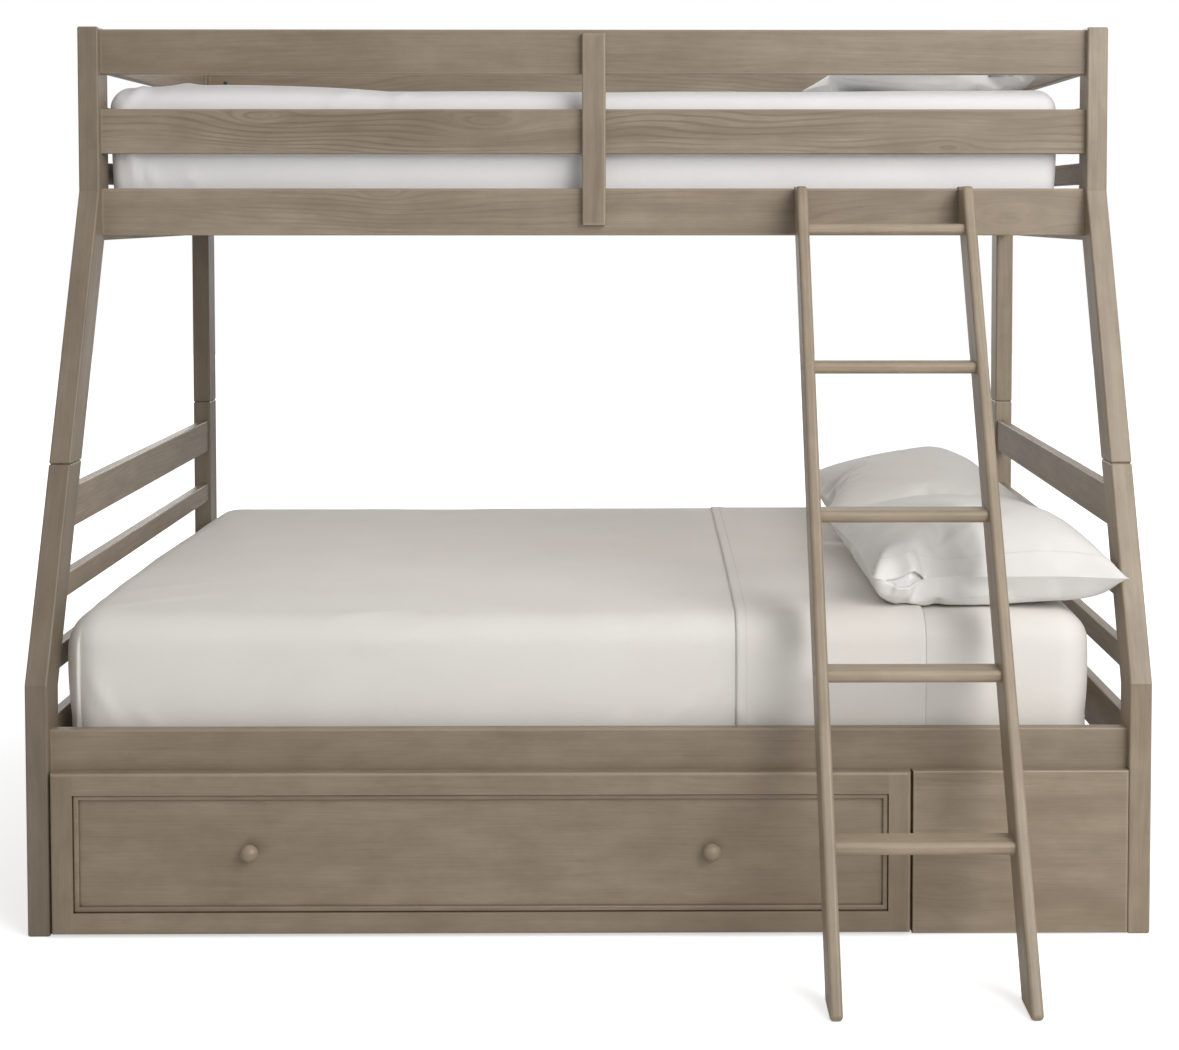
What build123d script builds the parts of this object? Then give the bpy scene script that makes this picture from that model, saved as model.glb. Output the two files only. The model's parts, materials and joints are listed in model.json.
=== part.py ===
"""Bunk bed with a leaning hook-on ladder, an under-bed drawer and bedding.

Millimetres. +X runs along the bed to the right, +Y from the front to the back, +Z up.
The origin lies on the floor, under the middle of the whole object, ladder included.
"""

import os
from math import asin, atan, cos, degrees, radians, sqrt, tan

from build123d import *

os.makedirs("parts", exist_ok=True)

# Mattresses, from which the frame takes its length and depth
mattress_length = 1900.0
lower_mattress_width = 1358.0
lower_mattress_thick = 254.0
upper_mattress_width = 965.0
upper_mattress_thick = 250.0
mattress_shift = -18.0
bedding_gap = 8.0
length_gap = 63.0
mattress_draw = 6.0
mattress_roll = 42.0
mattress_crown = 9.0
mattress_corner = 70.0

# Posts
frame_height = 1684.0
split_height = 842.0
kink_low = 461.0
kink_drop = 5.0
post_width = 41.0
post_depth = 72.0
post_round = 4.0
dowel_radius = 6.0
dowel_length = 90.0

# Long rails, guard rails and battens
rail_thick = 25.0
rail_recess = 18.0
rail_round = 3.0
side_rail_height = 94.0
guard_height = 89.0
guard_drop = 4.0
lower_side_rail_low = 282.0
upper_bunk_height = 414.0
batten_width = 47.0
batten_top_drop = 9.0
batten_bottom_rise = 21.0

# End rails
end_rail_thick = 22.0
end_rail_inset = 5.0
end_rail_narrow = 43.5
lower_end_top_height = 76.0
lower_end_top_drop = 47.0
lower_end_bottom_lift = 13.0
upper_end_top_height = 82.0
upper_end_bottom_drop = 10.0

# Slats and what carries them
slat_count = 12
slat_width = 70.0
slat_thick = 18.0
slat_end_gap = 2.0
slat_margin = 40.0
ledge_size = 22.0
ledge_rise = 8.0
ledge_end_gap = 6.0
beam_width = 28.0
beam_height = 60.0
leg_size = 40.0
leg_end_gap = 531.5

# Bolts through the posts, barrel nuts and batten bolts
bolt_radius = 3.0
bolt_head_radius = 7.0
bolt_head_thick = 4.5
counterbore_depth = 6.0
bolt_clear = 0.25
bolt_spread = 46.0
bolt_past_nut = 10.0
nut_radius = 5.0
nut_inset = 40.0
nut_length = 20.0
batten_bolt_drop = 20.0
batten_bolt_bite = 12.0

# Drawer and filler panel
filler_width = 394.0
filler_floor_gap = 2.0
drawer_gap = 4.5
drawer_floor_gap = 6.0
drawer_overlap = 20.0
drawer_proud = 8.0
drawer_edge_round = 6.0
drawer_frame_width = 40.0
drawer_rebate = 10.0
drawer_panel_thick = 8.0
drawer_panel_sink = 10.0
bead_width = 10.0
bead_height = 6.0
bead_round = 2.5
drawer_wall = 15.0
drawer_side_inset = 8.0
drawer_box_drop = 32.0
drawer_bottom_thick = 9.0
drawer_leg_gap = 54.0
fit_clear = 0.3
cleat_size = 30.0
cleat_end_gap = 20.0

# Knobs
knob_end_gap = 361.5
knob_radius = 16.5
knob_projection = 31.0
knob_neck_radius = 7.5
knob_base_radius = 10.0
knob_base_thick = 5.0
knob_cheek_share = 0.6
knob_back_depth = 8.0
knob_back_swell = 2.5
knob_edge_round = 2.5
knob_rise = 4.0
knob_screw_radius = 2.0
knob_screw_bite = 14.0
knob_screw_head_radius = 4.5
knob_screw_head_thick = 2.5

# Casters
wheel_radius = 20.0
wheel_width = 18.0
wheel_edge_round = 3.0
wheel_hub_radius = 9.0
wheel_dish = 2.5
wheel_top_gap = 3.5
wheel_side_gap = 1.0
axle_radius = 3.0
axle_clear = 0.05
axle_head_radius = 4.5
axle_head_thick = 1.5
bracket_thick = 2.5
bracket_depth = 26.0
bracket_plate_depth = 44.0
bracket_below_axle = 9.0
caster_inset_x = 70.0
caster_inset_y = 60.0

# Ladder
ladder_end_gap = 406.5
ladder_width = 350.0
ladder_bed_gap = 38.9
stile_thick = 22.0
stile_depth = 80.0
stile_round = 7.0
stile_foot_round = 8.0
stile_top_round = 14.0
stile_above_rail = 4.0
plumb_cut = 64.0
rung_count = 5
rung_thick = 22.0
rung_depth = 60.0
rung_nose = 9.0
rung_back_round = 4.0
rung_inset = 15.0
first_rung = 250.0
top_rung_drop = 70.0
ladder_bolt_radius = 3.0
ladder_bolt_head_radius = 5.5
ladder_bolt_head_thick = 4.0
ladder_bolt_sink = 8.0
ladder_bolt_bite = 50.0
hook_thick = 3.0
hook_width = 18.0
hook_gap = 0.3
hook_lip = 32.0
hook_leg = 58.0
hook_bend = 2.5

# Bedding
soft_gap = 0.4
sheet_thick = 2.5
sheet_hem_lift = 24.0
sheet_head = 618.0
sheet_cuff = 350.0
pillow_length = 640.0
pillow_width = 480.0
pillow_thick = 168.0
pillow_edge = 16.0
pillow_waist_share = 0.95
pillow_overhang = 43.0
upper_pillow_overhang = -4.0
pillow_spacing = 655.0
upper_pillow_thick = 112.0

# Places along X
rail_length = mattress_length + length_gap
post_x = (rail_length + post_width) / 2
post_outer_x = post_x + post_width / 2
end_rail_x = rail_length / 2 + end_rail_inset + end_rail_thick / 2
deck_half = end_rail_x - end_rail_thick / 2
leg_spacing = rail_length - 2 * leg_end_gap
ladder_centre = rail_length / 2 - ladder_end_gap

# Heights of the upper bunk, which hangs from the top of the posts
upper_side_rail_low = frame_height - upper_bunk_height
upper_rail_top = upper_side_rail_low + side_rail_height
kink_high = upper_rail_top - kink_drop

# Heights of the slat decks and of the lower mattress's top
deck_rise = ledge_rise + ledge_size
slat_top_rise = deck_rise + slat_thick
lower_deck = lower_side_rail_low + slat_top_rise
upper_deck = upper_side_rail_low + slat_top_rise
lower_bed_top = lower_deck + soft_gap + lower_mattress_thick

# Depth of the frame, and the reach of the ladder's feet in front of it. The ladder leans so that its
# stiles pass the lower mattress's top at a set gap
frame_depth = lower_mattress_width + 2 * (bedding_gap + rail_thick + rail_recess)
upper_setback = lower_mattress_width - upper_mattress_width
lower_bed_front = rail_recess + rail_thick + bedding_gap
ladder_top = upper_rail_top + stile_above_rail
plumb_low = ladder_top - plumb_cut
plumb_set = hook_thick + hook_gap
plumb_depth = upper_setback + rail_recess - plumb_set
stile_slope = (plumb_depth - lower_bed_front + ladder_bed_gap) / (plumb_low - lower_bed_top)
ladder_lean = atan(stile_slope)
stile_run = stile_depth / cos(ladder_lean)
foot_back = plumb_depth - plumb_low * stile_slope
foot_tip_cut = stile_foot_round * (1 / tan((radians(90) - ladder_lean) / 2) - 1)
ladder_reach = stile_run - foot_back - foot_tip_cut

# Places along Y
y_front = (ladder_reach - frame_depth) / 2
y_back = y_front + frame_depth
upper_front = y_front + upper_setback
back_post_front = y_back - post_depth
lower_rail_y = y_front + rail_recess
upper_rail_y = upper_front + rail_recess
back_rail_y = y_back - rail_recess - rail_thick
lower_inner_y = lower_rail_y + rail_thick
upper_inner_y = upper_rail_y + rail_thick
beam_y = (lower_inner_y + back_rail_y) / 2

# Places along Z
lower_rail_top = lower_side_rail_low + side_rail_height
guard_top_low = frame_height - guard_drop - guard_height
guard_middle_low = (upper_rail_top + guard_top_low - guard_height) / 2

# Outline of the kinked front posts, seen from the right
post_lean = atan(upper_setback / (kink_high - kink_low))
kink_shift = post_depth * tan(post_lean / 2)
front_line = [(y_front, 0), (y_front, kink_low), (upper_front, kink_high), (upper_front, frame_height)]
back_line = [
    (y_front + post_depth, 0),
    (y_front + post_depth, kink_low - kink_shift),
    (upper_front + post_depth, kink_high - kink_shift),
    (upper_front + post_depth, frame_height),
]
split_y = y_front + (split_height - kink_low) * tan(post_lean) + post_depth / cos(post_lean) / 2

# Heights at which bolts pass through the posts into the rails
side_rail_bolts = [side_rail_height / 2 - bolt_spread / 2, side_rail_height / 2 + bolt_spread / 2]
lower_bolts = [lower_side_rail_low + rise for rise in side_rail_bolts]
guard_bolts = [guard_middle_low + guard_height / 2, guard_top_low + guard_height / 2]
upper_bolts = [upper_side_rail_low + rise for rise in side_rail_bolts] + guard_bolts


def side_name(side):
    """Left is towards -X, right towards +X."""
    return "left" if side < 0 else "right"


def save(piece, name):
    """Label a finished piece and write it out."""
    piece.part.label = name
    export_step(piece.part, f"parts/{name}.step")


def board(low, high, along, radius):
    """Straight board between two corners, its long edges eased."""
    with BuildPart() as plank:
        with Locations(tuple((a + b) / 2 for a, b in zip(low, high))):
            Box(*(b - a for a, b in zip(low, high)))
        fillet(plank.edges().filter_by(along), radius)
    return plank


def cut_post_bolt_holes(side, y, heights):
    """Counterbored holes that enter a post from its outer face."""
    for z in heights:
        with Locations((side * post_x, y, z)):
            Cylinder(bolt_radius + bolt_clear, post_width, rotation=(0, 90, 0), mode=Mode.SUBTRACT)
        with Locations((side * (post_outer_x - counterbore_depth / 2), y, z)):
            sink_radius = bolt_head_radius + bolt_clear
            Cylinder(sink_radius, counterbore_depth, rotation=(0, 90, 0), mode=Mode.SUBTRACT)


def cut_dowel_hole(side, y):
    """Upright hole that takes half a stacking dowel, in either half of a post."""
    with Locations((side * post_x, y, split_height)):
        Cylinder(dowel_radius + bolt_clear, dowel_length, mode=Mode.SUBTRACT)


# Front posts, kinked back from a wide foot to the narrower upper bunk
def front_post(side, z_low, z_high, bolt_y, bolt_heights):
    with BuildPart() as post:
        with BuildSketch(Plane.YZ.offset(side * post_x - post_width / 2)):
            with BuildLine():
                Polyline(*front_line, *reversed(back_line), close=True)
            make_face()
            with Locations((0, (z_low + z_high) / 2)):
                Rectangle(2 * (frame_depth + ladder_reach), z_high - z_low, mode=Mode.INTERSECT)
        extrude(amount=post_width)
        level_edges = post.edges().filter_by(Axis.X).group_by(Axis.Z)
        fillet(post.faces().filter_by(Axis.X).edges() + level_edges[0] + level_edges[-1], post_round)
        cut_post_bolt_holes(side, bolt_y, bolt_heights)
        cut_dowel_hole(side, split_y)
    return post


# Back posts, straight from the floor to the top
def back_post(side, z_low, z_high, bolt_heights):
    middle_y = (back_post_front + y_back) / 2
    with BuildPart() as post:
        with Locations((side * post_x, middle_y, (z_low + z_high) / 2)):
            Box(post_width, post_depth, z_high - z_low)
        fillet(post.edges(), post_round)
        cut_post_bolt_holes(side, back_rail_y + rail_thick / 2, bolt_heights)
        cut_dowel_hole(side, middle_y)
    return post


for side in (-1, 1):
    end = side_name(side)
    lower_bolt_y = lower_rail_y + rail_thick / 2
    upper_bolt_y = upper_rail_y + rail_thick / 2
    save(front_post(side, 0, split_height, lower_bolt_y, lower_bolts), f"lower_post_front_{end}")
    save(front_post(side, split_height, frame_height, upper_bolt_y, upper_bolts), f"upper_post_front_{end}")
    save(back_post(side, 0, split_height, lower_bolts), f"lower_post_back_{end}")
    save(back_post(side, split_height, frame_height, upper_bolts), f"upper_post_back_{end}")

# Dowels that pin the upper posts on the lower ones
with BuildPart() as stacking_dowels:
    for side in (-1, 1):
        for y in (split_y, (back_post_front + y_back) / 2):
            with Locations((side * post_x, y, split_height)):
                Cylinder(dowel_radius, dowel_length)
save(stacking_dowels, "stacking_dowels")


# Long rails, each bolted at its ends into barrel nuts set in from its inner face
def long_rail(y_low, z_low, height, bolt_heights, inner):
    y_middle = y_low + rail_thick / 2
    nut_y = y_middle + inner * (rail_thick - nut_length) / 2
    with BuildPart() as rail:
        with Locations((0, y_middle, z_low + height / 2)):
            Box(rail_length, rail_thick, height)
        fillet(rail.edges().filter_by(Axis.X), rail_round)
        hole_depth = nut_inset + bolt_past_nut
        for side in (-1, 1):
            for z in bolt_heights:
                with Locations((side * (rail_length - hole_depth) / 2, y_middle, z)):
                    Cylinder(bolt_radius + bolt_clear, hole_depth, rotation=(0, 90, 0), mode=Mode.SUBTRACT)
                with Locations((side * (rail_length / 2 - nut_inset), nut_y, z)):
                    Cylinder(nut_radius + bolt_clear, nut_length, rotation=(90, 0, 0), mode=Mode.SUBTRACT)
    return rail


guard_rows = [("middle", guard_middle_low, guard_bolts[:1]), ("top", guard_top_low, guard_bolts[1:])]
for face, y_low, inner in (("front", upper_rail_y, 1), ("back", back_rail_y, -1)):
    side_rail = long_rail(y_low, upper_side_rail_low, side_rail_height, upper_bolts[:2], inner)
    rails = [(side_rail, f"upper_side_rail_{face}", upper_rail_top - batten_bolt_drop)]
    for row, z_low, heights in guard_rows:
        guard = long_rail(y_low, z_low, guard_height, heights, inner)
        rails.append((guard, f"guard_rail_{row}_{face}", z_low + guard_height / 2))
    for rail, name, batten_bolt_z in rails:
        with rail:
            with Locations((0, y_low + rail_thick / 2, batten_bolt_z)):
                Cylinder(bolt_radius + bolt_clear, rail_thick, rotation=(90, 0, 0), mode=Mode.SUBTRACT)
        save(rail, name)
for face, y_low, inner in (("front", lower_rail_y, 1), ("back", back_rail_y, -1)):
    lower_rail = long_rail(y_low, lower_side_rail_low, side_rail_height, lower_bolts, inner)
    save(lower_rail, f"lower_side_rail_{face}")

# Upright battens that tie the side rail and the guard rails together at mid length
batten_low = upper_side_rail_low + batten_bottom_rise
batten_high = guard_top_low + guard_height - batten_top_drop
batten_bolt_heights = [upper_rail_top - batten_bolt_drop, *guard_bolts]
batten_faces = (
    ("front", upper_rail_y - rail_recess, upper_rail_y, 1),
    ("back", back_rail_y + rail_thick, y_back, -1),
)
for face, y_low, y_high, inner in batten_faces:
    seat_y = y_high if inner > 0 else y_low
    low_corner = (-batten_width / 2, y_low, batten_low)
    high_corner = (batten_width / 2, y_high, batten_high)
    batten = board(low_corner, high_corner, Axis.Z, post_round)
    with batten:
        for z in batten_bolt_heights:
            with Locations((0, seat_y - inner * batten_bolt_bite / 2, z)):
                hole = bolt_radius + bolt_clear
                Cylinder(hole, batten_bolt_bite, rotation=(90, 0, 0), mode=Mode.SUBTRACT)
    save(batten, f"guard_batten_{face}")

with BuildPart() as batten_bolts:
    for face, y_low, y_high, inner in batten_faces:
        seat_y = y_high if inner > 0 else y_low
        head_y = seat_y + inner * rail_thick
        for z in batten_bolt_heights:
            with Locations((0, (head_y + seat_y - inner * batten_bolt_bite) / 2, z)):
                Cylinder(bolt_radius, rail_thick + batten_bolt_bite, rotation=(90, 0, 0))
            with Locations((0, head_y + inner * bolt_head_thick / 2, z)):
                Cylinder(bolt_head_radius, bolt_head_thick, rotation=(90, 0, 0))
save(batten_bolts, "batten_bolts")

# Bolts and barrel nuts at the ends of the long rails
bolt_spots = [(lower_rail_y, 1, z) for z in lower_bolts] + [(upper_rail_y, 1, z) for z in upper_bolts]
bolt_spots += [(back_rail_y, -1, z) for z in lower_bolts + upper_bolts]
bolt_seat_x = post_outer_x - counterbore_depth
bolt_tip_x = rail_length / 2 - nut_inset - bolt_past_nut
with BuildPart() as rail_bolts:
    for side in (-1, 1):
        for y_low, inner, z in bolt_spots:
            with Locations((side * (bolt_seat_x + bolt_tip_x) / 2, y_low + rail_thick / 2, z)):
                Cylinder(bolt_radius, bolt_seat_x - bolt_tip_x, rotation=(0, 90, 0))
            with Locations((side * (bolt_seat_x + bolt_head_thick / 2), y_low + rail_thick / 2, z)):
                Cylinder(bolt_head_radius, bolt_head_thick, rotation=(0, 90, 0))
save(rail_bolts, "rail_bolts")

with BuildPart() as barrel_nuts:
    for side in (-1, 1):
        for y_low, inner, z in bolt_spots:
            nut_x = side * (rail_length / 2 - nut_inset)
            nut_y = y_low + rail_thick / 2 + inner * (rail_thick - nut_length) / 2
            with Locations((nut_x, nut_y, z)):
                Cylinder(nut_radius, nut_length, rotation=(90, 0, 0))
            with Locations((nut_x, y_low + rail_thick / 2, z)):
                hole = bolt_radius + bolt_clear
                Cylinder(hole, 4 * nut_radius, rotation=(0, 90, 0), mode=Mode.SUBTRACT)
save(barrel_nuts, "barrel_nuts")


# End rails, spaced evenly and cut to the slope of the front post's back face
def end_rails(side, rows):
    with BuildPart() as rails:
        for z_low, z_high in rows:
            with Locations((side * end_rail_x, (y_front + back_post_front) / 2, (z_low + z_high) / 2)):
                Box(end_rail_thick, back_post_front - y_front, z_high - z_low)
        fillet(rails.edges().filter_by(Axis.Y), rail_round)
        with BuildSketch(Plane.YZ.offset(side * end_rail_x - end_rail_thick)):
            with BuildLine():
                ahead = y_front - post_depth
                Polyline((ahead, 0), *back_line, (ahead, frame_height), close=True)
            make_face()
        extrude(amount=2 * end_rail_thick, mode=Mode.SUBTRACT)
    return rails


def even_rows(z_low, z_high, height, count):
    """Rails of one height, spaced evenly in the space between two others."""
    gap = (z_high - z_low - count * height) / (count + 1)
    lows = [z_low + gap + row * (height + gap) for row in range(count)]
    return [(low, low + height) for low in lows]


lower_end_top = split_height - lower_end_top_drop
lower_end_low = lower_side_rail_low + lower_end_bottom_lift
upper_end_top = frame_height - guard_drop
upper_end_low = upper_side_rail_low - upper_end_bottom_drop
lower_bottom_row = (lower_end_low, lower_end_low + side_rail_height)
lower_top_row = (lower_end_top - lower_end_top_height, lower_end_top)
upper_bottom_row = (upper_end_low, upper_end_low + end_rail_narrow)
upper_top_row = (upper_end_top - upper_end_top_height, upper_end_top)
lower_rows = [lower_bottom_row, lower_top_row]
lower_rows += even_rows(lower_bottom_row[1], lower_top_row[0], end_rail_narrow, 2)
upper_rows = [upper_bottom_row, upper_top_row]
upper_rows += even_rows(upper_bottom_row[1], upper_top_row[0], end_rail_narrow, 2)
for side in (-1, 1):
    save(end_rails(side, lower_rows), f"lower_end_rails_{side_name(side)}")
    save(end_rails(side, upper_rows), f"upper_end_rails_{side_name(side)}")


# Ledges screwed to the inside of the side rails, and the slats that lie on them
def ledges(inner_y, rail_low):
    with BuildPart() as pair:
        for y in (inner_y + ledge_size / 2, back_rail_y - ledge_size / 2):
            with Locations((0, y, rail_low + ledge_rise + ledge_size / 2)):
                Box(rail_length - 2 * ledge_end_gap, ledge_size, ledge_size)
    return pair


def slats(inner_y, rail_low):
    pitch = (rail_length - 2 * slat_margin - slat_width) / (slat_count - 1)
    length = back_rail_y - inner_y - 2 * slat_end_gap
    with BuildPart() as row:
        with Locations((0, (inner_y + back_rail_y) / 2, rail_low + deck_rise + slat_thick / 2)):
            with GridLocations(pitch, length, slat_count, 1):
                Box(slat_width, length, slat_thick)
    return row


for level, inner_y, rail_low in (
    ("lower", lower_inner_y, lower_side_rail_low),
    ("upper", upper_inner_y, upper_side_rail_low),
):
    save(ledges(inner_y, rail_low), f"{level}_slat_ledges")
    save(slats(inner_y, rail_low), f"{level}_slats")

# Beam under the middle of the lower slats, between the end rails, on two legs
beam_top = lower_side_rail_low + deck_rise
with BuildPart() as centre_beam:
    with Locations((0, beam_y, beam_top - beam_height / 2)):
        Box(2 * deck_half, beam_width, beam_height)
save(centre_beam, "centre_beam")

leg_height = beam_top - beam_height
with BuildPart() as centre_legs:
    with Locations((0, beam_y, leg_height / 2)):
        with GridLocations(leg_spacing, 1, 2, 1):
            Box(leg_size, leg_size, leg_height)
    fillet(centre_legs.edges().filter_by(Axis.Z), rail_round)
save(centre_legs, "centre_legs")

# Plain filler panel at the right, flush with the post, and the two cleats behind it. The left one
# laps behind the gap beside the drawer
drawer_top = lower_side_rail_low + drawer_overlap
filler_left = rail_length / 2 - filler_width
with BuildPart() as filler_panel:
    filler_z = (filler_floor_gap + drawer_top) / 2
    with Locations((filler_left + filler_width / 2, y_front + rail_recess / 2, filler_z)):
        Box(filler_width, rail_recess, drawer_top - filler_floor_gap)
    fillet(filler_panel.faces().sort_by(Axis.Y)[0].edges(), rail_round)
save(filler_panel, "filler_panel")

cleat_low = filler_floor_gap + cleat_end_gap
cleat_high = lower_side_rail_low - cleat_end_gap
with BuildPart() as filler_cleat:
    cleat_x = rail_length / 2 - cleat_size / 2
    with Locations((cleat_x, lower_rail_y + cleat_size / 2, (cleat_low + cleat_high) / 2)):
        Box(cleat_size, cleat_size, cleat_high - cleat_low)
    jamb_x = filler_left - drawer_gap - drawer_side_inset / 2 + cleat_size / 2
    jamb_z = (filler_floor_gap + lower_side_rail_low) / 2
    with Locations((jamb_x, lower_rail_y + cleat_size / 2, jamb_z)):
        Box(cleat_size, cleat_size, lower_side_rail_low - filler_floor_gap)
save(filler_cleat, "filler_cleat")

# Drawer front: a frame with a rebate at its back, a panel in the rebate and a bead round the panel
drawer_left = drawer_gap - rail_length / 2
drawer_right = filler_left - drawer_gap
drawer_x = (drawer_left + drawer_right) / 2
drawer_width = drawer_right - drawer_left
drawer_height = drawer_top - drawer_floor_gap
drawer_z = (drawer_top + drawer_floor_gap) / 2
drawer_face_y = y_front - drawer_proud
drawer_front_back = lower_rail_y
panel_y = drawer_face_y + drawer_panel_sink
open_width = drawer_width - 2 * drawer_frame_width
open_height = drawer_height - 2 * drawer_frame_width
face_plane = Plane(origin=(drawer_x, drawer_face_y, drawer_z), x_dir=(1, 0, 0), z_dir=(0, -1, 0))
panel_plane = face_plane.offset(-drawer_panel_sink)

with BuildPart() as drawer_front_frame:
    with BuildSketch(face_plane):
        Rectangle(drawer_width, drawer_height)
    extrude(amount=drawer_face_y - drawer_front_back)
    fillet(drawer_front_frame.faces().sort_by(Axis.Y)[0].edges(), drawer_edge_round)
    with BuildSketch(face_plane):
        Rectangle(open_width, open_height)
    extrude(amount=drawer_face_y - drawer_front_back, mode=Mode.SUBTRACT)
    with BuildSketch(panel_plane):
        Rectangle(open_width + 2 * drawer_rebate, open_height + 2 * drawer_rebate)
    extrude(amount=panel_y - drawer_front_back, mode=Mode.SUBTRACT)
save(drawer_front_frame, "drawer_front_frame")

knob_z = drawer_z + knob_rise
knob_spacing = drawer_width - 2 * knob_end_gap
knob_places = [(drawer_x + side * knob_spacing / 2, side_name(side)) for side in (-1, 1)]
panel_width = open_width + 2 * (drawer_rebate - fit_clear)
panel_height = open_height + 2 * (drawer_rebate - fit_clear)
with BuildPart() as drawer_front_panel:
    with BuildSketch(panel_plane):
        Rectangle(panel_width, panel_height)
        with Locations((0, knob_rise)):
            with GridLocations(knob_spacing, 1, 2, 1):
                Circle(knob_screw_radius + bolt_clear, mode=Mode.SUBTRACT)
    extrude(amount=-drawer_panel_thick)
save(drawer_front_panel, "drawer_front_panel")

with BuildPart() as drawer_bead:
    with BuildSketch(panel_plane):
        Rectangle(open_width - 2 * fit_clear, open_height - 2 * fit_clear)
        Rectangle(open_width - 2 * bead_width, open_height - 2 * bead_width, mode=Mode.SUBTRACT)
    extrude(amount=bead_height)
    fillet(drawer_bead.faces().sort_by(Axis.Y)[0].edges(), bead_round)
save(drawer_bead, "drawer_bead")

# Drawer box: sides and back standing on the bottom
drawer_under = 2 * wheel_radius + wheel_top_gap + bracket_thick
drawer_floor = drawer_under + drawer_bottom_thick
drawer_box_top = lower_side_rail_low - drawer_box_drop
drawer_box_back = beam_y - leg_size / 2 - drawer_leg_gap
side_outer = drawer_width / 2 - drawer_side_inset
side_height = drawer_box_top - drawer_floor
side_length = drawer_box_back - drawer_front_back
drawer_box_y = (drawer_front_back + drawer_box_back) / 2
for side in (-1, 1):
    with BuildPart() as drawer_side:
        side_x = drawer_x + side * (side_outer - drawer_wall / 2)
        with Locations((side_x, drawer_box_y, drawer_floor + side_height / 2)):
            Box(drawer_wall, side_length, side_height)
        fillet(drawer_side.faces().sort_by(Axis.Z)[-1].edges().filter_by(Axis.Y), rail_round)
    save(drawer_side, f"drawer_side_{side_name(side)}")

with BuildPart() as drawer_back:
    with Locations((drawer_x, drawer_box_back - drawer_wall / 2, drawer_floor + side_height / 2)):
        Box(2 * (side_outer - drawer_wall), drawer_wall, side_height)
save(drawer_back, "drawer_back")

with BuildPart() as drawer_bottom:
    with Locations((drawer_x, drawer_box_y, drawer_floor - drawer_bottom_thick / 2)):
        Box(2 * side_outer, side_length, drawer_bottom_thick)
save(drawer_bottom, "drawer_bottom")

# Turned knobs on the front panel: a foot, a neck and a head with a domed back and front
knob_cheek = -knob_projection * knob_cheek_share
knob_neck_end = knob_cheek + knob_back_depth
dome_rise = knob_projection + knob_cheek
dome_radius = (knob_radius**2 + dome_rise**2) / (2 * dome_rise)
back_middle = (knob_neck_radius + knob_radius) / 2 + knob_back_swell
for knob_x, end in knob_places:
    with BuildPart() as knob:
        with BuildSketch(Plane(origin=(knob_x, panel_y, knob_z))) as profile:
            with BuildLine():
                Polyline(
                    (0, -knob_projection),
                    (0, 0),
                    (knob_base_radius, 0),
                    (knob_base_radius, -knob_base_thick / 2),
                    (knob_neck_radius, -knob_base_thick),
                    (knob_neck_radius, knob_neck_end),
                    (back_middle, knob_neck_end - knob_back_depth / 4),
                    (knob_radius, knob_cheek),
                )
                dome_turn = degrees(asin(knob_radius / dome_radius))
                CenterArc((0, dome_radius - knob_projection), dome_radius, 270, dome_turn)
            make_face()
            fillet(profile.vertices().sort_by(Axis.X)[-1], knob_edge_round)
        revolve(axis=Axis((knob_x, panel_y, knob_z), (0, 1, 0)))
        with Locations((knob_x, panel_y - knob_screw_bite / 2, knob_z)):
            hole = knob_screw_radius + bolt_clear
            Cylinder(hole, knob_screw_bite, rotation=(90, 0, 0), mode=Mode.SUBTRACT)
    save(knob, f"knob_{end}")

screw_seat_y = panel_y + drawer_panel_thick
with BuildPart() as knob_screws:
    for knob_x, end in knob_places:
        with Locations((knob_x, (screw_seat_y + panel_y - knob_screw_bite) / 2, knob_z)):
            Cylinder(knob_screw_radius, drawer_panel_thick + knob_screw_bite, rotation=(90, 0, 0))
        with Locations((knob_x, screw_seat_y + knob_screw_head_thick / 2, knob_z)):
            Cylinder(knob_screw_head_radius, knob_screw_head_thick, rotation=(90, 0, 0))
save(knob_screws, "knob_screws")

# Casters under the drawer's corners, two on each axle line
caster_xs = [drawer_x + side * (side_outer - caster_inset_x) for side in (-1, 1)]
caster_ys = {"front": drawer_front_back + caster_inset_y, "rear": drawer_box_back - caster_inset_y}
ear_x = wheel_width / 2 + wheel_side_gap + bracket_thick / 2
plate_width = 2 * ear_x + bracket_thick
ear_height = drawer_under - wheel_radius + bracket_below_axle
with BuildPart() as caster_brackets:
    for y in caster_ys.values():
        for x in caster_xs:
            with Locations((x, y, drawer_under - bracket_thick / 2)):
                Box(plate_width, bracket_plate_depth, bracket_thick)
            with Locations((x - ear_x, y, drawer_under - ear_height / 2)):
                Box(bracket_thick, bracket_depth, ear_height)
            with Locations((x + ear_x, y, drawer_under - ear_height / 2)):
                Box(bracket_thick, bracket_depth, ear_height)
            with Locations((x, y, wheel_radius)):
                hole = axle_radius + axle_clear
                Cylinder(hole, 2 * plate_width, rotation=(0, 90, 0), mode=Mode.SUBTRACT)
save(caster_brackets, "caster_brackets")

with BuildPart() as caster_axles:
    for y in caster_ys.values():
        for x in caster_xs:
            with Locations((x, y, wheel_radius)):
                Cylinder(axle_radius, plate_width, rotation=(0, 90, 0))
            for side in (-1, 1):
                with Locations((x + side * (plate_width + axle_head_thick) / 2, y, wheel_radius)):
                    Cylinder(axle_head_radius, axle_head_thick, rotation=(0, 90, 0))
save(caster_axles, "caster_axles")

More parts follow.
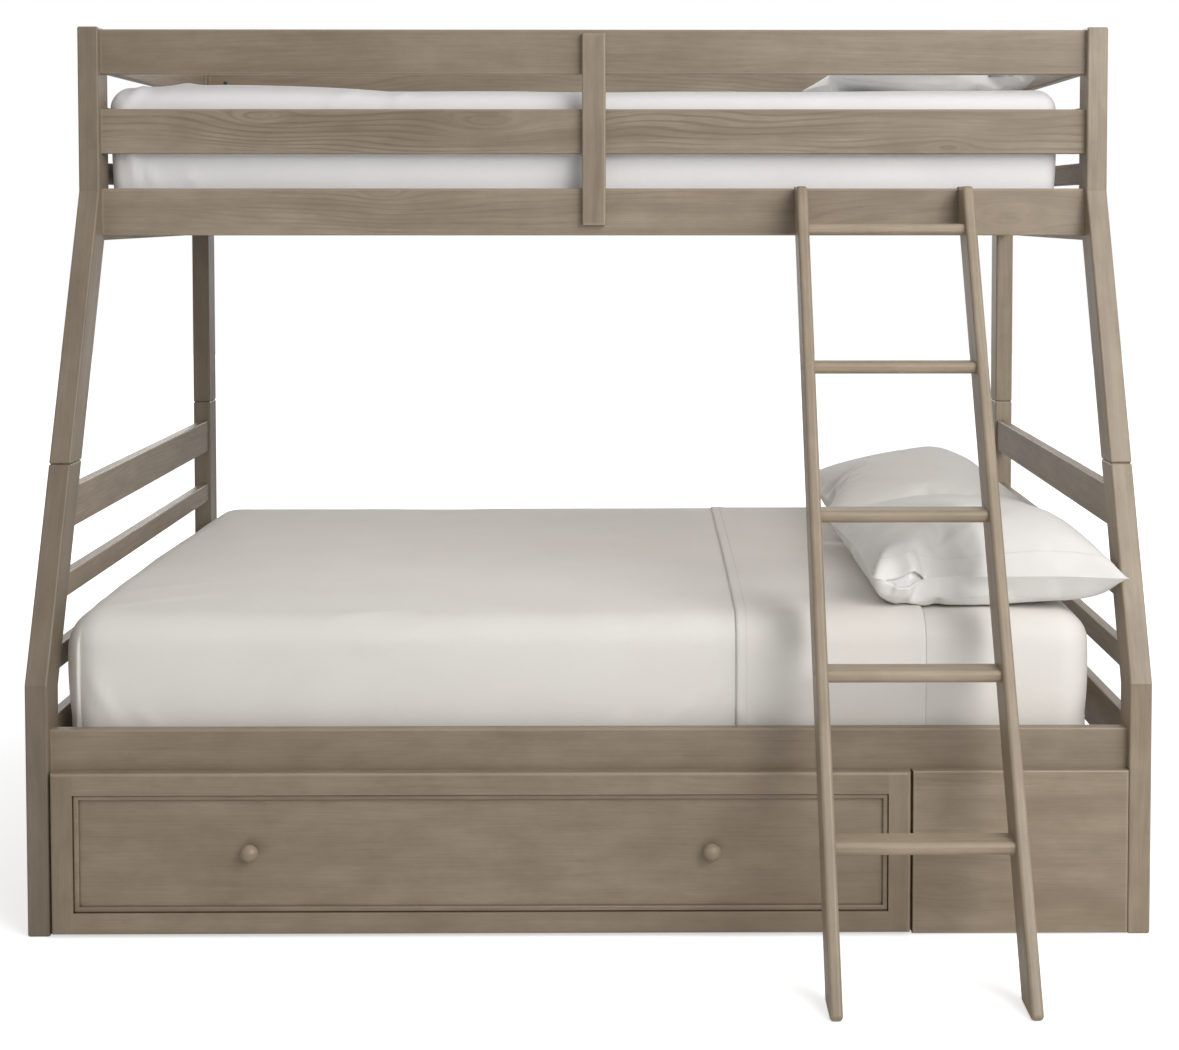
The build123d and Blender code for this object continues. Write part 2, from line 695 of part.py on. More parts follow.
for place, y in caster_ys.items():
    with BuildPart() as wheels:
        for x in caster_xs:
            with Locations((x, y, wheel_radius)):
                Cylinder(wheel_radius, wheel_width, rotation=(0, 90, 0))
        rims = wheels.edges().filter_by(GeomType.CIRCLE)
        fillet(rims, wheel_edge_round)
        for x in caster_xs:
            for side in (-1, 1):
                with Locations(Plane((x + side * wheel_width / 2, y, wheel_radius), z_dir=(side, 0, 0))):
                    with Locations((0, 0, -wheel_dish / 2)):
                        Cylinder(wheel_radius - 2 * wheel_edge_round, wheel_dish, mode=Mode.SUBTRACT)
                        Cylinder(wheel_hub_radius, wheel_dish)
            with Locations((x, y, wheel_radius)):
                hole = axle_radius + axle_clear
                Cylinder(hole, wheel_width, rotation=(0, 90, 0), mode=Mode.SUBTRACT)
    save(wheels, f"{place}_wheels")

# Ladder stiles: level at the foot, plumb at the top where they lean on the side rail
plumb_y = upper_rail_y - plumb_set
stile_foot_back = y_front + foot_back
stile_foot_front = stile_foot_back - stile_run
stile_x = (ladder_width - stile_thick) / 2
rung_tops_high = upper_rail_top - top_rung_drop
rung_pitch = (rung_tops_high - first_rung) / (rung_count - 1)
rung_middles = [first_rung + step * rung_pitch - rung_thick / 2 for step in range(rung_count)]


def rung_y(z):
    """Front edge of a rung whose middle is at height z."""
    return stile_foot_front + z * stile_slope + rung_inset


for side in (-1, 1):
    x = ladder_centre + side * stile_x
    with BuildPart() as stile:
        with BuildSketch(Plane.YZ.offset(x - stile_thick / 2)) as outline:
            with BuildLine():
                Polyline(
                    (stile_foot_front, 0),
                    (stile_foot_front + ladder_top * stile_slope, ladder_top),
                    (plumb_y, ladder_top),
                    (plumb_y, plumb_low),
                    (stile_foot_back, 0),
                    close=True,
                )
            make_face()
            fillet(outline.vertices().group_by(Axis.Y)[-1].sort_by(Axis.X)[:1], stile_top_round)
            fillet(outline.vertices().group_by(Axis.Y)[0].sort_by(Axis.X)[:1], stile_foot_round)
        extrude(amount=stile_thick)
        fillet(stile.faces().filter_by(Axis.X).edges(), stile_round)
        for z in rung_middles:
            y = rung_y(z) + rung_depth / 2
            with Locations((x, y, z)):
                hole = ladder_bolt_radius + bolt_clear
                Cylinder(hole, stile_thick, rotation=(0, 90, 0), mode=Mode.SUBTRACT)
            with Locations((x + side * (stile_thick - ladder_bolt_sink) / 2, y, z)):
                sink_radius = ladder_bolt_head_radius + bolt_clear
                Cylinder(sink_radius, ladder_bolt_sink, rotation=(0, 90, 0), mode=Mode.SUBTRACT)
    save(stile, f"ladder_stile_{side_name(side)}")

rung_length = ladder_width - 2 * stile_thick
with BuildPart() as ladder_rungs:
    for z in rung_middles:
        left_end = (ladder_centre - rung_length / 2, rung_y(z) + rung_depth / 2, z)
        with BuildSketch(Plane(origin=left_end, x_dir=(0, 1, 0), z_dir=(1, 0, 0))) as section:
            Rectangle(rung_depth, rung_thick)
            fillet(section.vertices().group_by(Axis.X)[0], rung_nose)
            fillet(section.vertices().group_by(Axis.X)[-1], rung_back_round)
        extrude(amount=rung_length)
        for side in (-1, 1):
            hole_x = ladder_centre + side * (rung_length - ladder_bolt_bite) / 2
            with Locations((hole_x, rung_y(z) + rung_depth / 2, z)):
                hole = ladder_bolt_radius + bolt_clear
                Cylinder(hole, ladder_bolt_bite, rotation=(0, 90, 0), mode=Mode.SUBTRACT)
save(ladder_rungs, "ladder_rungs")

bolt_shank = stile_thick - ladder_bolt_sink + ladder_bolt_bite
with BuildPart() as ladder_bolts:
    for z in rung_middles:
        y = rung_y(z) + rung_depth / 2
        for side in (-1, 1):
            seat = ladder_width / 2 - ladder_bolt_sink
            with Locations((ladder_centre + side * (seat - bolt_shank / 2), y, z)):
                Cylinder(ladder_bolt_radius, bolt_shank, rotation=(0, 90, 0))
            with Locations((ladder_centre + side * (seat + ladder_bolt_head_thick / 2), y, z)):
                Cylinder(ladder_bolt_head_radius, ladder_bolt_head_thick, rotation=(0, 90, 0))
save(ladder_bolts, "ladder_bolts")

# Steel hooks on the plumb cuts, over the upper side rail and down behind it
hook_front = plumb_y
hook_back = upper_inner_y + hook_gap + hook_thick
hook_under = upper_rail_top + hook_gap
hook_top = hook_under + hook_thick
with BuildPart() as ladder_hooks:
    for side in (-1, 1):
        with BuildSketch(Plane.YZ.offset(ladder_centre + side * stile_x - hook_width / 2)) as strap:
            with Locations(((hook_front + hook_back) / 2, hook_top - hook_leg / 2)):
                Rectangle(hook_back - hook_front, hook_leg)
            fillet(strap.vertices().group_by(Axis.Y)[-1], hook_bend + hook_thick)
            with Locations(((upper_rail_y + upper_inner_y) / 2, hook_under - hook_leg / 2)):
                Rectangle(rail_thick + 2 * hook_gap, hook_leg, mode=Mode.SUBTRACT)
            with Locations((hook_back, hook_under - hook_lip - hook_leg / 2)):
                Rectangle(2 * hook_thick + hook_gap, hook_leg, mode=Mode.SUBTRACT)
        extrude(amount=hook_width)
save(ladder_hooks, "ladder_hooks")


# Bedding. A mattress is crowned across, rolled at its top edges and drawn in at the top and bottom
def loaf(width, height, crown, roll):
    """Closed line round a crowned section that stands on the local X axis."""
    half = width / 2 - mattress_draw
    shoulder = height - crown - roll
    flat = half - roll
    bend = roll * sqrt(0.5)
    with BuildLine() as line:
        Line((-half, 0), (half, 0))
        ThreePointArc((half, 0), (width / 2, shoulder / 2), (half, shoulder))
        ThreePointArc((half, shoulder), (flat + bend, shoulder + bend), (flat, shoulder + roll))
        if crown > 0:
            ThreePointArc((flat, shoulder + roll), (0, height), (-flat, shoulder + roll))
        else:
            Line((flat, height), (-flat, height))
        ThreePointArc((-flat, shoulder + roll), (-flat - bend, shoulder + bend), (-half, shoulder))
        ThreePointArc((-half, shoulder), (-width / 2, shoulder / 2), (-half, 0))
    return line.line


def mattress(y_low, width, z_low, thick, grow=0):
    """Mattress on its deck, or the same form grown on all sides but its underside."""
    y_middle = y_low + width / 2
    length = mattress_length + 2 * grow
    width += 2 * grow
    thick += grow
    roll = mattress_roll + grow
    cross_plane = Plane(origin=(mattress_shift, y_middle, z_low), x_dir=(0, 1, 0), z_dir=(1, 0, 0))
    long_plane = Plane(origin=(mattress_shift, y_middle, z_low), x_dir=(1, 0, 0), z_dir=(0, -1, 0))
    plan_plane = Plane(origin=(mattress_shift, y_middle, z_low))
    with BuildPart() as pad:
        with BuildSketch(cross_plane):
            make_face(loaf(width, thick, mattress_crown, roll).edges())
        extrude(amount=length / 2, both=True)
        with BuildSketch(long_plane):
            make_face(loaf(length, thick, 0, roll).edges())
        extrude(amount=width, both=True, mode=Mode.INTERSECT)
        with BuildSketch(plan_plane):
            RectangleRounded(length, width, mattress_corner + grow)
        extrude(amount=thick, mode=Mode.INTERSECT)
    return pad


lower_bed_y = lower_inner_y + bedding_gap
upper_bed_y = upper_inner_y + bedding_gap
lower_bed_z = lower_deck + soft_gap
upper_bed_z = upper_deck + soft_gap
save(mattress(lower_bed_y, lower_mattress_width, lower_bed_z, lower_mattress_thick), "lower_mattress")
save(mattress(upper_bed_y, upper_mattress_width, upper_bed_z, upper_mattress_thick), "upper_mattress")

# Top sheet over the lower mattress and its foot, doubled where the head end is folded back as a cuff
lower_bed_middle = lower_bed_y + lower_mattress_width / 2
lower_bed = (lower_bed_y, lower_mattress_width, lower_bed_z, lower_mattress_thick)
sheet_layer = mattress(*lower_bed, grow=soft_gap + sheet_thick)
cuff_layer = mattress(*lower_bed, grow=soft_gap + 2 * sheet_thick)
sheet_lining = mattress(*lower_bed, grow=soft_gap)
with BuildPart() as top_sheet:
    add(cuff_layer.part)
    with Locations((sheet_head - sheet_cuff / 2, lower_bed_middle, lower_bed_z)):
        Box(sheet_cuff, 2 * lower_mattress_width, 4 * lower_mattress_thick, mode=Mode.INTERSECT)
    add(sheet_layer.part)
    add(sheet_lining.part, mode=Mode.SUBTRACT)
    with Locations((sheet_head + mattress_length / 2, lower_bed_middle, lower_bed_z)):
        Box(mattress_length, 2 * lower_mattress_width, 4 * lower_mattress_thick, mode=Mode.SUBTRACT)
    with Locations((mattress_shift, lower_bed_middle, lower_bed_z)):
        Box(2 * mattress_length, 2 * lower_mattress_width, 2 * sheet_hem_lift, mode=Mode.SUBTRACT)
save(top_sheet, "top_sheet")


def crown_height(y, y_low, width, thick):
    """Height of a mattress's top over its bottom, at a place across it."""
    half = width / 2 - mattress_draw - mattress_roll
    radius = (half**2 + mattress_crown**2) / (2 * mattress_crown)
    return thick - radius + sqrt(radius**2 - (y - y_low - width / 2) ** 2)


# Pillows: crowned, drawn in along their long sides and thin at the seams
def pillow(x_middle, y_middle, z_seat, thick):
    stations = ((-1.0, 1.0, 0), (-0.72, pillow_waist_share, 0.78), (0, pillow_waist_share, 1.0))
    stations += tuple((-place, width, fill) for place, width, fill in reversed(stations[:2]))
    seat = thick / 4
    with BuildPart() as pad:
        for place, width, fill in stations:
            centre = (x_middle, y_middle + place * pillow_length / 2, z_seat + seat)
            with BuildSketch(Plane(origin=centre, x_dir=(1, 0, 0), z_dir=(0, 1, 0))):
                with BuildLine():
                    half = pillow_width * width / 2
                    above = pillow_edge / 2 + fill * (thick - seat - pillow_edge / 2)
                    below = pillow_edge / 2 + fill * (seat - pillow_edge / 2)
                    ThreePointArc((-half, 0), (0, -above), (half, 0))
                    ThreePointArc((half, 0), (0, below), (-half, 0))
                make_face()
        loft()
    return pad


pillow_x = mattress_shift + mattress_length / 2 - pillow_width / 2
for place, side in (("front", -1), ("rear", 1)):
    y = lower_bed_middle + side * pillow_spacing / 2
    crown = crown_height(y, lower_bed_y, lower_mattress_width, lower_mattress_thick)
    seat_z = lower_bed_z + crown + soft_gap
    save(pillow(pillow_x + pillow_overhang, y, seat_z, pillow_thick), f"pillow_{place}")
upper_bed_middle = upper_bed_y + upper_mattress_width / 2
upper_seat_z = upper_bed_z + upper_mattress_thick + soft_gap
upper_pillow_x = pillow_x + upper_pillow_overhang
save(pillow(upper_pillow_x, upper_bed_middle, upper_seat_z, upper_pillow_thick), "pillow_upper")
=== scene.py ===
"""Bunk bed in a plain studio: camera, light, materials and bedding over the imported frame."""

import itertools
import json
import math

import bpy
import numpy as np
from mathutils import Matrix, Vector
from mathutils.bvhtree import BVHTree

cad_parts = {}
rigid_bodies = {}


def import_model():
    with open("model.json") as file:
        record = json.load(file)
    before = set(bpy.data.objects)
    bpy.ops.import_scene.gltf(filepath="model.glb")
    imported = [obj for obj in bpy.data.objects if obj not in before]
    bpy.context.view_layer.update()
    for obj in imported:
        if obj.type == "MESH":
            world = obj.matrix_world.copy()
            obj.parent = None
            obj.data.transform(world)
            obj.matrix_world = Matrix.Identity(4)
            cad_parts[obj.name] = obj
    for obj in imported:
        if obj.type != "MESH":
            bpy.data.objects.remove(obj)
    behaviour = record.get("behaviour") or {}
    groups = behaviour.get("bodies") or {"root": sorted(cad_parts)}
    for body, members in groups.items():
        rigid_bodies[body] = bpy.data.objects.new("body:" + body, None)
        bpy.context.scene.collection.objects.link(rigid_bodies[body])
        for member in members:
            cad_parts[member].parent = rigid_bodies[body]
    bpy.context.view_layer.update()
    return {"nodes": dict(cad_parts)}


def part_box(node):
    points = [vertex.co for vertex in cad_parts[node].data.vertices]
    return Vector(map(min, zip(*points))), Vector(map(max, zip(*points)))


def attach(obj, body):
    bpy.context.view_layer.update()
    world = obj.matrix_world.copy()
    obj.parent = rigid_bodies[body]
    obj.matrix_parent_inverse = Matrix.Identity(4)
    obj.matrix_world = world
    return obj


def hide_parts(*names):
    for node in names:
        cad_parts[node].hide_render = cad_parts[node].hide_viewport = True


for start_object in list(bpy.data.objects):
    bpy.data.objects.remove(start_object)

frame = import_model()
scene = bpy.context.scene
nodes = frame["nodes"]
front_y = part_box("lower_post_front_left")[0].y


# Camera, light and floor

# How far the camera stands to the right, in front of the front posts and above the floor
CAMERA_SIDE, CAMERA_DISTANCE, CAMERA_HEIGHT = 0.0913, 3.581, 1.3228
# Its turn to the right and downwards, in radians
CAMERA_YAW, CAMERA_PITCH = 0.0085, 0.0443
# Strength of the even light from all round
WORLD_LIGHT = 0.31
WHITE = (1.0, 1.0, 1.0, 1.0)
WARM_WHITE = (1.0, 0.985, 0.965)
# Half width of the floor, and how far it lies under the feet
FLOOR_REACH, FLOOR_GAP = 14.0, 0.0006
# Distances from the middle between which the floor's glow rises to white, and the glow it starts from
FADE_START, FADE_END, FLOOR_GLOW = 1.4, 4.6, 0.6


def make_camera():
    data = bpy.data.cameras.new("camera")
    data.sensor_width = 36.0
    data.lens = 60.9
    data.shift_x = -0.0571
    data.shift_y = -0.193
    camera = bpy.data.objects.new("camera", data)
    scene.collection.objects.link(camera)
    camera.location = (CAMERA_SIDE, front_y - CAMERA_DISTANCE, CAMERA_HEIGHT)
    level = math.cos(CAMERA_PITCH)
    look = Vector((level * math.sin(CAMERA_YAW), level * math.cos(CAMERA_YAW), -math.sin(CAMERA_PITCH)))
    camera.rotation_euler = look.to_track_quat("-Z", "Y").to_euler()
    scene.camera = camera


def area_light(name, place, aim, size, power, colour):
    data = bpy.data.lights.new(name, "AREA")
    data.shape = "RECTANGLE"
    data.size, data.size_y = size
    data.energy = power
    data.color = colour
    lamp = bpy.data.objects.new(name, data)
    scene.collection.objects.link(lamp)
    lamp.location = place
    lamp.rotation_euler = (Vector(aim) - Vector(place)).to_track_quat("-Z", "Y").to_euler()


class Tree:
    """Short calls for building a node tree."""

    def __init__(self, tree):
        self.tree = tree
        tree.nodes.clear()

    def put(self, socket, value):
        if isinstance(value, bpy.types.NodeSocket):
            self.tree.links.new(value, socket)
        else:
            socket.default_value = value

    def node(self, kind, *values, **settings):
        made = self.tree.nodes.new("ShaderNode" + kind)
        for key, value in settings.items():
            setattr(made, key, value)
        for socket, value in zip(made.inputs, values):
            self.put(socket, value)
        return made

    def math(self, operation, *values):
        return self.node("Math", *values, operation=operation).outputs[0]

    def add(self, a, b):
        return self.math("ADD", a, b)

    def sub(self, a, b):
        return self.math("SUBTRACT", a, b)

    def mul(self, a, b):
        return self.math("MULTIPLY", a, b)

    def split(self, vector):
        return self.node("SeparateXYZ", vector).outputs[:]

    def join(self, x, y, z):
        return self.node("CombineXYZ", x, y, z).outputs[0]

    def noise(self, vector, detail=2.0, rough=0.5, scale=1.0):
        made = self.node("TexNoise")
        self.put(made.inputs["Vector"], vector)
        made.inputs["Scale"].default_value = scale
        made.inputs["Detail"].default_value = detail
        made.inputs["Roughness"].default_value = rough
        return made.outputs[0]

    def ramp(self, value, low, high, to_low=0.0, to_high=1.0):
        return self.node("MapRange", value, low, high, to_low, to_high).outputs[0]

    def smooth(self, value, low, high, to_low=0.0, to_high=1.0):
        made = self.node("MapRange", value, low, high, to_low, to_high, interpolation_type="SMOOTHSTEP")
        return made.outputs[0]

    def mix(self, factor, a, b):
        made = self.node("Mix", data_type="RGBA")
        self.put(made.inputs[0], factor)
        self.put(made.inputs[6], a)
        self.put(made.inputs[7], b)
        return made.outputs[2]

    def blend(self, factor, a, b):
        made = self.node("Mix", data_type="FLOAT")
        self.put(made.inputs[0], factor)
        self.put(made.inputs[2], a)
        self.put(made.inputs[3], b)
        return made.outputs[0]

    def bump(self, height, strength, distance, normal=None):
        made = self.node("Bump")
        made.inputs["Strength"].default_value = strength
        made.inputs["Distance"].default_value = distance
        self.put(made.inputs["Height"], height)
        if normal is not None:
            self.put(made.inputs["Normal"], normal)
        return made.outputs[0]


def make_world():
    world = bpy.data.worlds.new("studio")
    scene.world = world
    world.use_nodes = True
    t = Tree(world.node_tree)
    path = t.node("LightPath").outputs
    seen = t.math("MAXIMUM", path["Is Camera Ray"], path["Is Transmission Ray"])
    seen = t.math("MAXIMUM", seen, path["Is Glossy Ray"])
    light = t.node("Background", (0.97, 0.98, 1.0, 1.0), WORLD_LIGHT).outputs[0]
    white = t.node("Background", WHITE, 1.0).outputs[0]
    t.node("OutputWorld", t.node("MixShader", seen, light, white).outputs[0])


def make_floor():
    """Pale floor that keeps the bed's shadow near it and fades to white further off."""
    mesh = bpy.data.meshes.new("floor")
    corners = [(x * FLOOR_REACH, y * FLOOR_REACH, 0) for x, y in ((-1, -1), (1, -1), (1, 1), (-1, 1))]
    mesh.from_pydata(corners, [], [(0, 1, 2, 3)])
    floor = bpy.data.objects.new("floor", mesh)
    scene.collection.objects.link(floor)
    floor.location.z = -FLOOR_GAP
    material = bpy.data.materials.new("floor")
    material.use_nodes = True
    t = Tree(material.node_tree)
    at = t.node("TexCoord").outputs["Object"]
    speckle = t.noise(at, scale=3.0)
    paint = t.mix(t.ramp(speckle, 0.3, 0.7), (0.84, 0.84, 0.84, 1.0), (0.87, 0.87, 0.87, 1.0))
    matte = t.node("BsdfDiffuse", paint).outputs[0]
    away = t.node("VectorMath", at, operation="LENGTH").outputs["Value"]
    lift = t.smooth(away, FADE_START, FADE_END, FLOOR_GLOW, 1.0)
    seen = t.node("LightPath").outputs["Is Camera Ray"]
    glow = t.node("Emission", WHITE, t.mul(seen, lift)).outputs[0]
    t.node("OutputMaterial", t.node("AddShader", matte, glow).outputs[0])
    mesh.materials.append(material)


make_camera()
make_world()
make_floor()
area_light("key", (2.9, -3.3, 3.6), (0.1, 0.0, 0.8), (3.4, 3.2), 138.0, WARM_WHITE)
area_light("fill", (2.2, -4.7, 2.2), (0.1, 0.0, 0.9), (2.4, 1.6), 56.0, WARM_WHITE)
area_light("top", (0.3, 0.2, 4.6), (0.0, 0.2, 0.0), (3.0, 3.0), 28.0, WHITE[:3])
area_light("back", (-0.8, 4.8, 2.7), (0.0, 0.0, 0.8), (2.8, 2.0), 52.0, (1.0, 0.99, 0.975))
scene.view_settings.view_transform = "Standard"


# Materials
def new_material(name):
    material = bpy.data.materials.new(name)
    material.use_nodes = True
    t = Tree(material.node_tree)
    shader = t.node("BsdfPrincipled")
    t.node("OutputMaterial", shader.outputs[0])
    return material, t, shader


def srgb(*shade):
    """A colour as a picture shows it, from 0 to 255, as the linear colour that nodes take."""
    parts = [c / 255 for c in shade]
    return (*(c / 12.92 if c <= 0.04045 else ((c + 0.055) / 1.055) ** 2.4 for c in parts), 1.0)


def toned(colour, tone_and_light):
    return (*(c * tone_and_light for c in colour[:3]), 1.0)


# Heights where the slope of the front posts starts and ends, and how far back it goes
POST_KINK = (0.461, 1.359, 0.393)
# Lean of the ladder, and width of the uprights in the drawer's front
STILE_LEAN, DRAWER_STILE = math.radians(28.8), 0.04
# Steps along the grain and in depth from one board of a group to the next, and from one node to the next
BOARD_STEP, NODE_STEP = (1.731, 0.137), (2.713, 0.311)
# How much a distance along the grain counts round a knot, and how far a knot pushes the rings aside
KNOT_STRETCH, KNOT_PUSH = 0.36, 0.8
# Radians of rings for each metre, and how far they wander
RING_RATE, RING_WANDER = 540.0, 6.0
# Distances from an edge between which its wear fades out
WEAR_START, WEAR_END = 0.001, 0.0065


def grain_axes(t, node, grain, cell):
    """Distances along the grain and across it, with an offset for each board of a group."""
    x, y, z = t.split(t.node("TexCoord").outputs["Object"])
    if grain == "post":
        bend = t.ramp(z, POST_KINK[0], POST_KINK[1], 0.0, POST_KINK[2])
        along, across, depth = z, t.sub(y, bend), x
    elif grain == "stile":
        along = t.add(t.mul(z, math.cos(STILE_LEAN)), t.mul(y, math.sin(STILE_LEAN)))
        across = t.sub(t.mul(y, math.cos(STILE_LEAN)), t.mul(z, math.sin(STILE_LEAN)))
        depth = x
    elif grain == "frame":
        low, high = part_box(node)
        from_middle = t.math("ABSOLUTE", t.sub(x, (low.x + high.x) / 2))
        upright = t.math("GREATER_THAN", from_middle, (high.x - low.x) / 2 - DRAWER_STILE)
        along, across, depth = t.blend(upright, x, z), t.blend(upright, z, x), y
    else:
        along, across, depth = {"X": (x, z, y), "Y": (y, z, x), "Z": (z, x, y)}[grain]
    if cell:
        axis, size = cell
        board = t.math("FLOOR", t.math("DIVIDE", {"X": x, "Y": y, "Z": z}[axis], size))
        along = t.add(along, t.mul(board, BOARD_STEP[0]))
        depth = t.add(depth, t.mul(board, BOARD_STEP[1]))
    return along, across, depth


def edge_wear(t, node):
    """1 along the edges of a straight board, 0 on its faces, from its own box."""
    low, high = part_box(node)
    gaps = []
    for place, start, end in zip(t.split(t.node("TexCoord").outputs["Object"]), low, high):
        gaps.append(t.math("MINIMUM", t.sub(place, start), t.sub(end, place)))
    a, b, c = gaps
    least = t.math("MINIMUM", t.math("MINIMUM", a, b), c)
    most = t.math("MAXIMUM", t.math("MAXIMUM", a, b), c)
    second = t.sub(t.sub(t.add(t.add(a, b), c), least), most)
    return t.smooth(second, WEAR_START, WEAR_END, 1.0, 0.0)


def wood(node, grain, seed, tones, cell=None, knots=(), figure=0.3, gloss=0.4, worn=False, glaze_and_shade=False):
    """Stained board: growth rings that flow round knots, streaks, fine fibres and short pores, and where
    asked painted shade in its crevices.
    """
    material, t, shader = new_material(node)
    along, across, depth = grain_axes(t, node, grain, cell)
    heart = None
    for knot_along, knot_across, size in knots:
        da = t.sub(along, knot_along)
        dc = t.sub(across, knot_across)
        near = t.add(t.mul(t.mul(da, KNOT_STRETCH), t.mul(da, KNOT_STRETCH)), t.mul(dc, dc))
        push = t.math("DIVIDE", size * size, t.add(near, size * size * 0.25))
        across = t.sub(across, t.mul(t.mul(dc, push), KNOT_PUSH))
        core = t.smooth(near, 0.0, size * size * 0.12, 1.0, 0.0)
        heart = core if heart is None else t.math("MAXIMUM", heart, core)
    along = t.add(along, seed * NODE_STEP[0])
    depth = t.add(depth, seed * NODE_STEP[1])

    def at(a, c):
        return t.join(t.mul(along, a), t.mul(across, c), t.mul(depth, c))

    slow = t.noise(at(1.1, 5.0))
    from_heart = t.add(t.add(across, t.mul(t.sub(slow, 0.5), 0.16)), math.sin(seed * 7.1) * 0.03)
    tree = t.math("SQRT", t.add(t.mul(from_heart, from_heart), 0.0016))
    wander = t.noise(at(5.0, 40.0))
    rings = t.math("SINE", t.add(t.mul(tree, RING_RATE), t.mul(wander, RING_WANDER)))
    fade = t.smooth(t.noise(at(2.2, 11.0)), 0.35, 0.62)
    late = t.mul(t.smooth(rings, 0.0, 1.0), fade)
    streaks = t.noise(at(1.5, 34.0), 3.0, 0.6)
    fibres = t.noise(at(8.0, 420.0), 3.0, 0.6)
    pores = t.smooth(t.noise(at(38.0, 1500.0), 1.0), 0.6, 0.78)
    blotch = t.noise(at(2.6, 8.0), 3.0, 0.55)
    mottle = t.noise(at(11.0, 19.0), 4.0, 0.62)
    base, dark, pale = tones
    colour = t.mix(t.ramp(blotch, 0.3, 0.7), base, pale)
    colour = t.mix(t.ramp(mottle, 0.38, 0.72, 0.0, 0.34), colour, dark)
    colour = t.mix(t.ramp(streaks, 0.4, 0.7, 0.0, 0.14 + 0.5 * figure), colour, dark)
    colour = t.mix(t.mul(late, 0.62 * figure), colour, dark)
    colour = t.mix(t.ramp(fibres, 0.35, 0.75, 0.0, 0.26), colour, dark)
    colour = t.mix(t.mul(pores, 0.3), colour, dark)
    if heart is not None:
        colour = t.mix(t.mul(heart, 0.22), colour, dark)
    if worn:
        colour = t.mix(t.mul(edge_wear(t, node), 0.4), colour, toned(pale, 1.12))
    # Painted shade: ambient occlusion darkens the colour in crevices and in gaps between parts, and partly
    # also stands for stain glaze gathered in the bead's corners
    if glaze_and_shade:
        open_air = t.node("AmbientOcclusion", samples=6)
        open_air.inputs["Distance"].default_value = 0.009
        colour = t.mix(t.smooth(open_air.outputs["AO"], 0.3, 0.8, 0.75, 0.0), colour, toned(dark, 0.3))
    t.put(shader.inputs["Base Color"], colour)
    t.put(shader.inputs["Roughness"], t.ramp(fibres, 0.3, 0.8, gloss - 0.06, gloss + 0.1))
    height = t.sub(t.mul(fibres, 0.6), t.mul(t.add(late, pores), 0.3))
    t.put(shader.inputs["Normal"], t.bump(height, 0.16, 0.0006))
    shader.inputs["Specular IOR Level"].default_value = 0.45
    return material


def paint(node, material):
    mesh = nodes[node].data
    mesh.materials.clear()
    mesh.materials.append(material)
    for polygon in mesh.polygons:
        polygon.material_index = 0


# Base, dark and pale tone of the stained and of the plain wood
STAIN = (srgb(141, 126, 107), srgb(103, 89, 73), srgb(157, 143, 125))
PINE = (srgb(205, 178, 140), srgb(168, 130, 88), srgb(220, 197, 162))
# Number that the seeds of the plain wood start from
PLAIN_SEED = 41

# Grain, tone and strength of figure of each stained node. The tone is partly the board's own and partly
# painted light: the left pieces are darker as painted shade, and the right pieces, ladder and knobs are
# lighter as painted light from the key lamp on the right
stained = {
    "lower_post_front_left": ("post", 0.78, 0.2),
    "lower_post_front_right": ("post", 1.14, 0.24),
    "upper_post_front_left": ("post", 0.86, 0.2),
    "upper_post_front_right": ("post", 1.08, 0.2),
    "lower_post_back_left": ("Z", 0.74, 0.3),
    "lower_post_back_right": ("Z", 1.15, 0.3),
    "upper_post_back_left": ("Z", 0.74, 0.3),
    "upper_post_back_right": ("Z", 1.15, 0.3),
    "guard_batten_front": ("Z", 1.05, 0.4),
    "guard_batten_back": ("Z", 1.0, 0.4),
    "upper_side_rail_front": ("X", 1.11, 0.42),
    "upper_side_rail_back": ("X", 0.97, 0.5),
    "guard_rail_top_front": ("X", 0.94, 0.24),
    "guard_rail_top_back": ("X", 1.0, 0.5),
    "guard_rail_middle_front": ("X", 1.06, 0.85),
    "guard_rail_middle_back": ("X", 1.02, 0.6),
    "lower_side_rail_front": ("X", 0.99, 0.1),
    "lower_side_rail_back": ("X", 1.0, 0.5),
    "filler_panel": ("X", 1.14, 0.3),
    "drawer_front_frame": ("frame", 1.06, 0.12),
    "drawer_front_panel": ("X", 1.03, 0.06),
    "drawer_bead": ("X", 1.0, 0.2),
    "knob_left": ("Y", 1.25, 0.2),
    "knob_right": ("Y", 1.25, 0.2),
    "ladder_stile_left": ("stile", 1.15, 0.22),
    "ladder_stile_right": ("stile", 1.17, 0.22),
    "ladder_rungs": ("X", 1.28, 0.22),
    "lower_end_rails_left": ("Y", 0.95, 0.35),
    "lower_end_rails_right": ("Y", 1.0, 0.35),
    "upper_end_rails_left": ("Y", 0.95, 0.35),
    "upper_end_rails_right": ("Y", 1.0, 0.35),
}
# Axis and spacing of the boards in the stained nodes that hold several
board_cells = {
    "ladder_rungs": ("Z", 0.13),
    "lower_end_rails_left": ("Z", 0.105),
    "lower_end_rails_right": ("Z", 0.105),
    "upper_end_rails_left": ("Z", 0.105),
    "upper_end_rails_right": ("Z", 0.105),
}
# Place along the grain, place across it and size of each knot
board_knots = {
    "guard_rail_middle_front": [(-0.669, 1.519, 0.03), (-0.213, 1.512, 0.034), (0.71, 1.44, 0.02)],
    "upper_side_rail_front": [(0.83, 1.31, 0.03), (-0.42, 1.365, 0.024)],
    "filler_panel": [(0.645, 0.09, 0.02)],
}
# Straight boards, whose edges are worn
straight = [n for n in stained if "rail" in n and "end" not in n]
straight += ["guard_batten_front", "guard_batten_back", "filler_panel", "drawer_front_frame"]
